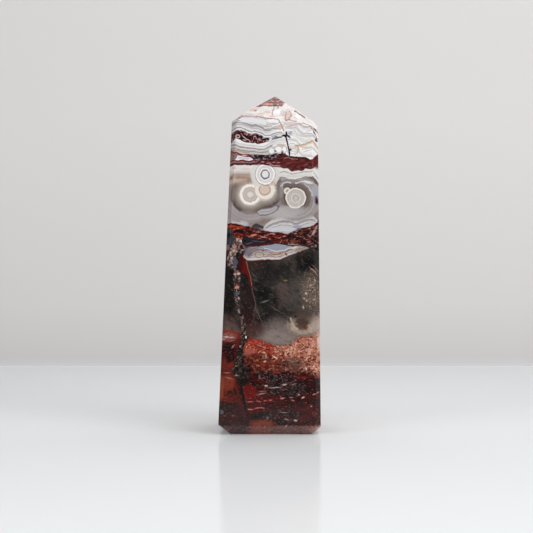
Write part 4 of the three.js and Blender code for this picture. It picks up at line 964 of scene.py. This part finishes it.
    # the crack: peach above, then a black T whose stem runs down to the band
    s.lay(s.line([(91.6, 2.8), (90.8, 3.1), (90.2, 3.4), (89.3, 3.8), (88.6, 4.1)], half=0.15, upright=True),
        (176, 140, 124), 0.9)
    s.lay(s.spot(3.0, 89.5, 0.55, 0.5, soft=0.3), (220, 190, 172), 0.8)
    s.lay(s.line([(87.1, 4.8), (86, 5), (84.5, 5.3), (83.5, 5.5), (82.2, 5.8), (81.4, 5.85)], half=0.24,
        upright=True), (20, 14, 18))
    s.dots([(4.9, 87.7, 0.26, 0.65, 8, (18, 12, 16)), (4.3, 87.1, 0.75, 0.24, 6, (52, 18, 24)),
        (5.6, 86.9, 0.75, 0.24, -38, (18, 12, 18)), (4.8, 86.8, 0.4, 0.35, 0, (62, 16, 22)),
        (6.0, 87.9, 0.6, 0.6, 0, (186, 182, 200)), (6.1, 82.95, 0.3, 0.3, 0, (112, 34, 40)),
        (3.7, 82.1, 0.35, 0.22, 0, (96, 30, 34)), (3.8, 82.5, 0.35, 0.2, 0, (150, 146, 152)),
        (1.6, 82.6, 0.4, 0.3, 0, (146, 142, 148)), (13.7, 86.2, 0.25, 0.4, 0, (96, 52, 50)),
        (-9.1, 91.55, 0.6, 0.13, 0, (140, 146, 166)), (-11.0, 90.2, 0.5, 0.3, 30, (206, 190, 186)),
        (10.9, 82.6, 1.2, 0.14, 10, (206, 202, 204)), (10.4, 83.2, 1.0, 0.12, 6, (214, 210, 211)),
        (11.6, 88.6, 0.9, 0.12, 10, (206, 202, 204))], soft=0.14)


# The tip: white low down, mauve-red at the point, with brown cracks between.
def paintTip(s):
    s.lay(s.above([(-6, 93.6), (-2.6, 92.8), (0.6, 92.3), (3, 92.0), (8, 91.0)], soft=0.5), (236, 231, 229), 0.7)
    rough = s.fine * 0.8
    smears = s.noise((0.8, 0.8, 1.4), 3.0, 0.62, turn=14, shift=29)
    high = s.above([(-10, 92.8), (-4, 92.8), (2, 92.4), (8, 91.2), (14, 89.6)], soft=0.6)
    s.lay(smears.gate(12.0, -6.9) & high, (216, 186, 174), 0.5)
    s.lay(smears.gate(-12.0, 4.9) & high, (206, 200, 200), 0.45)
    # near-white spots on the tip facet: the stone's white, partly brightened as a painted highlight where the facet
    # catches the overhead light
    s.dots([(2.8, 94.5, 1.8, 0.6, 0, (250, 250, 250), 0.9), (8.6, 93.2, 0.8, 0.7, 0, (250, 248, 248), 0.8, 0.4)],
        soft=0.5)
    s.lay(s.spot(5.3, 93.5, 1.2, 1.5, turn=12, soft=1.0, rough=rough * 2.5), (206, 176, 162), 0.6)
    s.lay(s.spot(3.9, 94.1, 0.8, 1.1, soft=0.6, rough=rough), (206, 198, 196), 0.8)
    s.lay(s.line([(-9.5, 92.1), (-8, 92.7), (-6.5, 92.8), (-4.2, 92.75), (-2.5, 92.6), (-1, 92.3), (0.5, 92.2),
        (2.7, 91.85)], half=0.11, rough=s.grain * 0.9), (134, 58, 58), 0.85)
    s.lay(s.line([(94.9, 6.0), (93.6, 6.3), (92.2, 5.6)], half=0.15, upright=True, rough=s.fine * 0.8), (140, 86, 74),
        0.65)
    s.lay(s.line([(94.3, 5.0), (92.7, 4.6), (91.7, 4.9)], half=0.14, upright=True, rough=s.fine * 0.8),
        (156, 106, 92), 0.5)
    s.lay(s.line([(96.7, 1.35), (95.5, 1.2), (94.5, 0.9), (93.4, 0.8)], half=0.13, upright=True), (150, 124, 126),
        0.85)
    s.lay(s.line([(4.6, 91.7), (5.6, 91.85), (6.6, 91.5), (7.6, 91.3)], half=0.15), (150, 56, 50), 0.85)
    s.lay(s.line([(7.6, 94.9), (8.2, 94.5), (9.1, 93.9), (10.2, 93.2)], half=0.3, deep=True, rough=s.fine * 0.4),
        (142, 60, 58), 0.9)
    s.lay(s.spot(9.0, 94.0, 0.7, 0.25, turn=-30), (92, 30, 32), 0.85)
    s.dots([(-4.2, 94.8, 0.35, 0.25, 0, (146, 100, 76)), (-4.6, 95.2, 1.5, 0.3, 16, (216, 184, 172)),
        (-0.4, 94.4, 0.9, 0.2, -20, (222, 176, 148)), (-2.4, 93.9, 1.4, 0.12, 12, (214, 184, 166)),
        (2.5, 96.1, 0.3, 0.3, 0, (160, 140, 142)), (-9.2, 92.5, 0.9, 0.16, 34, (196, 130, 126)),
        (-7.4, 93.2, 1.2, 0.2, 12, (216, 190, 184)), (-2.6, 93.4, 0.9, 0.12, -4, (214, 200, 196)),
        (0.6, 93.0, 0.8, 0.2, 0, (224, 186, 172)), (7.4, 92.6, 0.5, 0.2, -20, (214, 196, 186)),
        (11.4, 91.9, 1.0, 0.12, -30, (206, 190, 184)), (-6.4, 93.9, 0.8, 0.12, 10, (206, 200, 202))], soft=0.2)
    point = s.above([(-6, 96.3), (-3.4, 96.1), (-1.5, 96.7), (0.5, 96.5), (2.2, 96.6), (3.4, 96.5), (4.2, 97.4),
        (5, 99), (8, 104)], soft=0.3, rough=rough) & s.far.gate(-0.7, 1.9)
    spots = s.noise((1.2, 1.2, 1.9), 2.0, 0.66, shift=27)
    s.lay(point, s.ramp(spots, [(0.36, (92, 52, 56)), (0.46, (136, 92, 94)), (0.54, (170, 132, 130)),
        (0.66, (214, 180, 172))]))
    s.lay(s.spot(-0.6, 97.3, 1.5, 0.35, turn=8, soft=0.25, rough=s.fine * 0.4), (222, 160, 134), 0.9)
    s.lay(s.spot(0.6, 97.9, 1.0, 0.25, turn=14, soft=0.2), (112, 84, 88), 0.8)
    s.lay(s.line([(-3.6, 96.3), (-2, 96.75), (0, 96.6), (2, 96.7), (3.6, 96.6)], half=0.16, rough=s.fine * 0.5),
        (112, 60, 62), 0.85)
    s.dots([(1.6, 98.9, 0.8, 0.35, 0, (142, 66, 60), 0.85), (3.3, 97.3, 0.5, 0.4, 0, (150, 110, 110), 0.8, 0.3)],
        soft=0.25)


# What the other faces show. These features go by the stone's real place: x, distance behind the axis, and z.
otherEyes = [(14.5, 3.8, 61.3, 4.2, "cream"), (14.5, -2.8, 66.0, 2.4, "tan"), (14.5, 9.8, 56.4, 2.5, "dark"),
    (5.4, 12.9, 58.4, 4.3, "dark"), (-0.8, 12.9, 54.4, 2.7, "tan"), (-5.4, 12.8, 61.2, 3.3, "cream"),
    (-12.3, 4.4, 60.6, 3.5, "cream"), (-12.2, -1.2, 65.4, 2.2, "dark"), (-12.6, 9.8, 55.4, 2.0, "tan")]
eyeRings = {
    "cream": [(0.0, (214, 204, 198)), (0.13, (198, 188, 184)), (0.3, (178, 168, 165)), (0.38, (214, 207, 203)),
              (0.46, (220, 213, 209)), (0.53, (190, 181, 177)), (0.64, (206, 198, 194)), (0.72, (188, 179, 175)),
              (0.84, (206, 198, 192)), (0.89, (234, 228, 220)), (0.98, (230, 222, 212)), (1.03, (176, 162, 150))],
    "dark": [(0.0, (238, 236, 236)), (0.17, (226, 222, 222)), (0.28, (232, 230, 230)), (0.33, (140, 132, 134)),
             (0.39, (104, 97, 100)), (0.44, (128, 122, 124)), (0.49, (228, 226, 226)), (0.62, (184, 178, 178)),
             (0.69, (232, 230, 230)), (0.76, (198, 192, 190)), (0.83, (240, 238, 238)), (1.0, (164, 150, 142))],
    "tan": [(0.0, (214, 196, 184)), (0.2, (202, 178, 162)), (0.3, (214, 194, 180)), (0.45, (206, 184, 170)),
            (0.52, (168, 134, 116)), (0.6, (176, 144, 128)), (0.68, (230, 222, 214)), (0.9, (224, 216, 208)),
            (1.0, (160, 144, 134))],
}


# Streaks, grey lenses and orange flames low on the left and back faces.
def paintOtherRed(s):
    zone = (s.x + 8.5).gate(-0.8, 0.0) & (s.z - 29.6).gate(-0.8, 0.0) & s.far.gate(0.8, -0.8)
    flow = s.noise((0.22, 0.22, 0.7), 4.0, 0.66, turn=9, shift=41)
    s.lay(zone, s.ramp(flow, [(0.32, (24, 14, 17)), (0.42, (52, 20, 21)), (0.5, (92, 32, 26)), (0.56, (146, 62, 42)),
        (0.62, (84, 30, 27)), (0.72, (172, 108, 90))]))
    middle = s.cells((0.5, 0.5, 1.3), turn=6, shift=9)[0]
    rows = zone & s.noise(0.16, 1.0, 0.5, shift=5).gate(12.0, -5.6)
    s.lay((middle - 0.42).size().gate(-13.0, 1.0) & s.grain.gate(8.0, 0.4) & rows, (172, 156, 150), 0.6)
    s.lay(middle.gate(-10.0, 3.0) & rows, (27, 25, 29), 0.85)
    threads = s.noise((0.5, 0.5, 2.6), 3.0, 0.62, turn=7, shift=18)
    s.lay((threads - 0.56).size().gate(-48.0, 0.9) & zone, (186, 104, 88), 0.5)
    s.place = s.real
    for x, y, z, wide, deep, tall, color in (
            (-13.6, 3.0, 20.5, 2.0, 4.6, 1.6, (170, 84, 56)), (-13.8, -4.5, 9.0, 2.0, 2.2, 3.4, (140, 64, 46)),
            (-14.2, 8.0, 8.6, 2.0, 3.4, 1.3, (150, 66, 46)), (-13.6, 1.0, 14.0, 2.0, 3.4, 0.7, (196, 140, 126)),
            (-7.0, 13.9, 10.6, 3.6, 2.0, 1.5, (160, 76, 54)), (-9.6, 14.0, 5.6, 2.6, 2.0, 1.0, (60, 58, 64))):
        s.lay(s.spot(x, z, wide, tall, soft=0.8, rough=s.fine * 2.0, depth=y, thick=deep) & zone, color, 0.7)


# Milky lenses and thin quartz threads in the smoke of the other faces, and the broken vein behind.
def paintOtherVeins(s):
    right, behind, s.z = (s.axis(turn) for turn in ((0, 0, 0), (0, 0, -90), (0, 90, 0)))
    shards = s.noise((1.3, 0.8, 1.0), 3.0, 0.7, turn=14, shift=53)
    # the back
    s.x = right + s.fine * 0.8
    back = behind.gate(0.5, -3.0)
    s.lay(s.patch([(44, 7.4, 8.6), (38, 5.6, 7.4), (33, 5.2, 6.4)], upright=True, deep=True, rough=s.fine) & back,
        (108, 26, 20))
    vein = s.patch([(56, 4.6, 6.2), (46, 4.6, 6.8), (40, 3.2, 5.2), (34, 2.8, 4.1), (30, 3.3, 4.9), (24, 4.2, 6.8),
        (18, 3.8, 5.6), (10, 2.6, 3.8), (-1, 1.4, 2.6)], upright=True, deep=True, rough=s.fine * 1.2) & back
    s.lay(vein, s.ramp(shards, [(0.34, (16, 12, 13)), (0.45, (44, 34, 34)), (0.53, (104, 84, 80)),
        (0.6, (156, 130, 122)), (0.68, (212, 192, 184))]))
    s.lay(s.line([(41, -6.6), (36, -4.4), (30, -3.2), (24, -0.4), (19, 1.2)], half=0.1, upright=True, deep=True)
        & back, (176, 154, 144), 0.6)
    s.lay(s.line([(33, -3.8), (28, -6.2), (22, -7.4)], half=0.09, upright=True, deep=True) & back, (150, 128, 120),
        0.6)
    bowl = s.spot(-5.2, 16.6, 3.6, 1.9, soft=1.6, rough=s.fine * 2.2, depth=0, thick=90) & back
    s.lay(bowl, (192, 173, 156), 0.7)
    s.lay(s.spot(-5.0, 18.2, 1.8, 2.2, soft=1.4, rough=s.fine * 2.0, depth=0, thick=90) & back, (76, 54, 48), 0.8)
    # the right face, where a point's distance behind the axis takes the place of x
    s.x = behind + s.fine * 0.6
    rightFace = right.gate(0.5, -5.2)
    lens = s.patch([(-7.4, 36.0, 36.3), (-5, 34.4, 37.4), (-1.5, 33.2, 38.2), (2, 32.2, 37.8), (5.5, 31.6, 36.0),
        (8.5, 31.2, 33.6), (11, 31.0, 31.4)], deep=True, soft=0.25, rough=s.fine * 0.6) & rightFace
    waves = s.layers(s.z + (s.x * 0.32) + (s.noise(0.35, 2.0, 0.5, shift=25) * 5.0) + (s.fine * 0.7), 0.8)
    milky = s.ramp(waves, [(0.28, (112, 114, 130)), (0.4, (176, 170, 174)), (0.5, (214, 210, 209)),
        (0.6, (152, 128, 116)), (0.72, (210, 202, 198))])
    s.lay(lens, milky)
    s.lay(s.line([(-10, 47), (-6, 43.6), (-2, 41.8), (1, 41.6), (5, 39.2), (9, 38.4)], half=0.12, deep=True)
        & rightFace, (168, 142, 132), 0.6)
    s.lay(s.line([(28, -3.6), (24, -2.2), (18, -2.6), (12, -0.6), (5, 0.4)], half=0.5, upright=True, deep=True,
        rough=s.fine) & rightFace, s.ramp(shards, [(0.4, (20, 14, 15)), (0.52, (88, 70, 66)),
        (0.64, (190, 168, 160))]))
    # the left face
    leftFace = right.gate(-0.5, -4.6)
    lens = s.patch([(-5.4, 36.8, 37.2), (-2.6, 34.2, 37.4), (1, 31.2, 35.6), (4.5, 28.8, 33.2), (8, 27.4, 29.6),
        (10.4, 26.8, 27.2)], deep=True, soft=0.25, rough=s.fine * 0.6) & leftFace
    s.lay(lens, milky)
    s.lay(s.line([(50, -4.4), (43, -1.0), (36, 0.6), (30, 3.6), (22, 4.4), (14, 7.2)], half=0.13, upright=True,
        deep=True) & leftFace, (178, 150, 140), 0.65)


# Eyes and scallops in the grey band of the other faces.
def paintOtherEyes(s):
    band = s.above(brickTop, soft=0.15, rough=s.fine * 0.2)
    heave = s.z + (s.noise(0.33, 1.0, 0.5, shift=12) * 5.0) + s.fine
    s.lay((heave - 75.6).gate(1.2, 0.0) & s.far.gate(0.8, -0.8), s.ramp(heave, [(75.6, (168, 160, 158)),
        (76.4, (112, 100, 97)), (77.0, (146, 136, 132)), (77.3, (230, 226, 222)), (77.9, (212, 206, 202)),
        (78.1, (146, 138, 138)), (78.4, (236, 233, 230)), (79.4, (228, 222, 216)), (80.2, (206, 182, 168)),
        (81.0, (232, 228, 224))]))
    s.place = s.real
    bent = (s.noise(0.42, 1.0, 0.5, shift=33) - 0.5) * 2.6 + (s.fine * 0.3)
    found = [(s.reach(x, z, 1, 1, depth=y, thick=1.0) + bent, radius, rings) for x, y, z, radius, rings in otherEyes]
    halo = None
    for away, radius, rings in found:
        rim = away - radius
        halo = rim if halo is None else halo.math("SMOOTH_MIN", rim, 1.6)
    s.lay(halo.gate(-1.2, 5.4) & band, s.ramp(halo, haloShades))
    cloud = s.noise((0.3, 0.3, 0.5), 2.0, 0.5, shift=44)
    s.lay(cloud.gate(7.0, -3.4) & (halo - 1.6).gate(1.4, 0.0) & (halo - 6.0).gate(-1.0, 0.0) & band, (160, 149, 144),
        0.7)
    for away, radius, rings in found:
        s.lay(away.within(radius) & band, s.ramp(away * (1 / radius), eyeRings[rings]))


# Broken maroon pockets and cracks in the lace of the other faces and the tip.
def paintOtherLace(s):
    shards = s.noise((1.1, 1.1, 1.5), 3.0, 0.7, turn=-12, shift=61)
    pocket = s.ramp(shards, [(0.34, (34, 16, 20)), (0.44, (92, 30, 31)), (0.52, (142, 58, 54)),
        (0.57, (216, 192, 188)), (0.62, (84, 27, 29)), (0.7, (228, 208, 204))])
    right, behind, s.z = (s.axis(turn) for turn in ((0, 0, 0), (0, 0, -90), (0, 90, 0)))
    s.place = s.real
    ragged = (s.noise(0.6, 2.0, 0.6, shift=15) - 0.5) * 2.6
    for x, y, z, wide, deep, tall in ((14.2, 3.4, 83.4, 2.0, 4.6, 1.5), (-11.4, 4.2, 80.6, 2.0, 3.6, 1.6),
                                      (-4.8, 12.2, 79.2, 4.4, 2.0, 1.5), (4.6, 11.6, 86.6, 2.8, 2.0, 1.0),
                                      (-5.4, 5.6, 94.2, 2.8, 3.4, 2.2), (8.6, 2.2, 93.4, 3.2, 2.4, 1.0)):
        inside = s.spot(x, z, wide, tall, soft=0.3, rough=ragged, depth=y, thick=deep)
        s.lay(inside, pocket)
    s.x = behind + s.fine * 0.6
    rightFace = right.gate(0.5, -5.2) & behind.gate(0.5, 4.6)
    s.lay(s.line([(93, -3.4), (88, -1.6), (84, -0.6), (79, 1.4), (75, 1.0)], half=0.13, upright=True, deep=True)
        & rightFace, (46, 36, 40), 0.85)
    s.lay(s.line([(2.6, 78.8), (5, 80.2), (7.4, 79.4), (9.6, 81.2)], half=0.15, deep=True) & rightFace,
        (206, 160, 96), 0.8)
    s.x = right + s.fine * 0.6
    back = behind.gate(0.5, -3.0)
    s.lay(s.line([(92, 2.8), (88, 1.0), (83, 1.8), (78, -1.2), (73, -0.4)], half=0.12, upright=True, deep=True)
        & back, (120, 62, 58), 0.85)


def buildStoneMaterial():
    material = bpy.data.materials.new("laceAgate")
    material.use_nodes = True
    tree = material.node_tree
    tree.nodes.clear()
    s = StonePattern(tree, stoneLook)
    placeStone(s)
    for paint in (paintDeepRed, paintSalmon, paintSmoke, paintBowl, paintLowerLeft, paintOtherRed, paintVein,
                  paintBrokenBand, paintLens, paintOtherVeins, paintRings, paintOtherEyes, paintMaroonBand, paintLace,
                  paintTip, paintOtherLace):
        s.paint(paint)
    deeper = s.add("ShaderNodeGamma", Color=s.color, Gamma=stoneLook["deepen"])
    # the polish is a little uneven: softer and glossier patches, a slow swell, and a few tiny pits
    rough = s.fine.math("MULTIPLY_ADD", stoneLook["roughChange"], stoneLook["roughness"])
    swell = s.noise(stoneLook["swellScale"], 1.0, 0.5, shift=3)
    middle, pick = s.cells(stoneLook["pitScale"], shift=5)
    pits = middle.gate(-5.0, 1.0).least(pick.gate(20.0, -18.4)).most(0.0)
    bump = s.add("ShaderNodeBump", Strength=1.0, Distance=stoneLook["unevenness"], Height=swell - pits.least(1.0))
    surface = s.add("ShaderNodeBsdfPrincipled", Roughness=rough, IOR=stoneLook["ior"], Normal=Wire(bump.outputs[0]))
    join(Wire(deeper.outputs[0]), surface.inputs["Base Color"])
    output = s.add("ShaderNodeOutputMaterial")
    tree.links.new(surface.outputs[0], output.inputs["Surface"])
    print("stone material:", len(tree.nodes), "nodes")
    return material


shellLook = {"mergeWithin": 2e-6, "flatWeight": 100}


# The stone as one shell: the CAD node's triangles joined, its flats kept flat and its rounded edges smooth.
def buildTower():
    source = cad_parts["tower"]
    shell = bmesh.new()
    shell.from_mesh(source.data)
    shell.transform(source.matrix_world)
    bmesh.ops.remove_doubles(shell, verts=shell.verts, dist=shellLook["mergeWithin"])
    mesh = bpy.data.meshes.new("towerStone")
    shell.to_mesh(mesh)
    shell.free()
    mesh.materials.append(buildStoneMaterial())
    mesh.polygons.foreach_set("use_smooth", [True] * len(mesh.polygons))
    piece = bpy.data.objects.new("towerStone", mesh)
    bpy.context.scene.collection.objects.link(piece)
    flats = piece.modifiers.new("flats", "WEIGHTED_NORMAL")
    flats.weight = shellLook["flatWeight"]
    flats.keep_sharp = True
    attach(piece, "root")
    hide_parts("tower")
    print("tower:", len(mesh.polygons), "faces")


studioLook = {
    "cameraPlace": (-0.0009, -0.3791, 0.04896),
    "lens": 85.0,
    "sensor": 36.0,
    "floorFront": -0.18,
    "floorBack": 0.237,  # where the floor turns up into the backdrop
    "sweepRadius": 0.002,
    "sweepSteps": 16,
    "backdropTop": 0.8,
    "halfWidth": 1.1,
    "floorColor": (238, 241, 243),
    # how bright the backdrop is painted at each height in metres: painted shade that darkens it towards the floor
    "wallPaintedShade": ((0.0004, (216, 214, 214)), (0.005, (212, 209, 208)), (0.03, (219, 216, 215)),
                   (0.12, (226, 223, 222))),
    "floorRoughness": 0.12,
    "floorIor": 1.1,  # low, so that the floor mirrors the stone only faintly
    "worldColor": (255, 255, 255),
    "worldStrength": 0.15,
    "seenColor": (213, 211, 210),
    # place, what it points at, width and height in metres, and power in watts
    "lamps": {
        "overhead": ((0.1, -0.02, 0.62), (0, 0, 0.03), (0.6, 0.6), 1.6),
        "right": ((0.5, -0.45, 0.3), (0, 0, 0.05), (0.4, 0.4), 2.2),
        "left": ((-0.5, -0.45, 0.3), (0, 0, 0.05), (0.4, 0.4), 1.2),
        "highFront": ((0.05, -0.55, 0.5), (0, 0, 0.05), (0.6, 0.35), 1.2),
    },
}


def buildSweep():
    look = studioLook
    back, radius, wide = look["floorBack"], look["sweepRadius"], look["halfWidth"]
    profile = [(look["floorFront"], 0.0)]
    for step in range(look["sweepSteps"] + 1):
        turn = math.pi / 2 * step / look["sweepSteps"]
        profile.append((back - radius + radius * math.sin(turn), radius - radius * math.cos(turn)))
    profile.append((back, look["backdropTop"]))
    points = [(side * wide, y, z) for y, z in profile for side in (-1, 1)]
    strips = [(2 * i, 2 * i + 1, 2 * i + 3, 2 * i + 2) for i in range(len(profile) - 1)]
    mesh = bpy.data.meshes.new("sweep")
    mesh.from_pydata(points, [], strips)
    mesh.polygons.foreach_set("use_smooth", [True] * len(mesh.polygons))
    material = bpy.data.materials.new("glossyPaper")
    material.use_nodes = True
    nodes, links = material.node_tree.nodes, material.node_tree.links
    surface = nodes["Principled BSDF"]
    place = nodes.new("ShaderNodeTexCoord")
    parts = nodes.new("ShaderNodeSeparateXYZ")
    links.new(place.outputs["Object"], parts.inputs[0])
    shades = look["wallPaintedShade"]
    top = shades[-1][0]
    upward = nodes.new("ShaderNodeMapRange")  # 0 on the floor and 1 high on the wall
    links.new(parts.outputs[2], upward.inputs["Value"])
    upward.inputs["From Max"].default_value = top
    shade = nodes.new("ShaderNodeValToRGB")
    links.new(upward.outputs[0], shade.inputs[0])
    steps = shade.color_ramp.elements
    steps[0].color, steps[1].color = tone(*look["floorColor"]), tone(*shades[-1][1])
    for height, color in shades[:-1]:
        steps.new(height / top).color = tone(*color)
    links.new(shade.outputs[0], surface.inputs["Base Color"])
    surface.inputs["Roughness"].default_value = look["floorRoughness"]
    surface.inputs["IOR"].default_value = look["floorIor"]
    # seen from behind, the paper lets the camera look through to the stone
    clear = nodes.new("ShaderNodeBsdfTransparent")
    side = nodes.new("ShaderNodeNewGeometry")
    either = nodes.new("ShaderNodeMixShader")
    links.new(side.outputs["Backfacing"], either.inputs[0])
    links.new(surface.outputs[0], either.inputs[1])
    links.new(clear.outputs[0], either.inputs[2])
    links.new(either.outputs[0], nodes["Material Output"].inputs["Surface"])
    mesh.materials.append(material)
    sweep = bpy.data.objects.new("sweep", mesh)
    bpy.context.scene.collection.objects.link(sweep)


def buildStudio():
    look = studioLook
    scene = bpy.context.scene
    buildSweep()
    camera = bpy.data.objects.new("camera", bpy.data.cameras.new("camera"))
    camera.data.lens = look["lens"]
    camera.data.sensor_width = look["sensor"]
    camera.data.clip_start = 0.01
    camera.location = look["cameraPlace"]
    camera.rotation_euler = (math.pi / 2, 0, 0)
    scene.collection.objects.link(camera)
    scene.camera = camera
    for name, (place, aim, size, power) in look["lamps"].items():
        lamp = bpy.data.lights.new(name, "AREA")
        lamp.shape = "RECTANGLE"
        lamp.size, lamp.size_y = size
        lamp.energy = power
        holder = bpy.data.objects.new(name, lamp)
        holder.location = place
        holder.rotation_euler = (Vector(place) - Vector(aim)).to_track_quat("Z", "Y").to_euler()
        scene.collection.objects.link(holder)
    world = bpy.data.worlds.new("studio")
    world.use_nodes = True
    background = world.node_tree.nodes["Background"]
    background.inputs["Color"].default_value = tone(*look["worldColor"])
    background.inputs["Strength"].default_value = look["worldStrength"]
    # past the paper's edges the camera sees the same pale grey as the backdrop
    seen = world.node_tree.nodes.new("ShaderNodeBackground")
    seen.inputs["Color"].default_value = tone(*look["seenColor"])
    rays = world.node_tree.nodes.new("ShaderNodeLightPath")
    either = world.node_tree.nodes.new("ShaderNodeMixShader")
    world.node_tree.links.new(rays.outputs["Is Camera Ray"], either.inputs[0])
    world.node_tree.links.new(background.outputs[0], either.inputs[1])
    world.node_tree.links.new(seen.outputs[0], either.inputs[2])
    world.node_tree.links.new(either.outputs[0], world.node_tree.nodes["World Output"].inputs["Surface"])
    scene.world = world
    scene.view_settings.view_transform = "Standard"
    print("studio ready")


buildStudio()
buildTower()
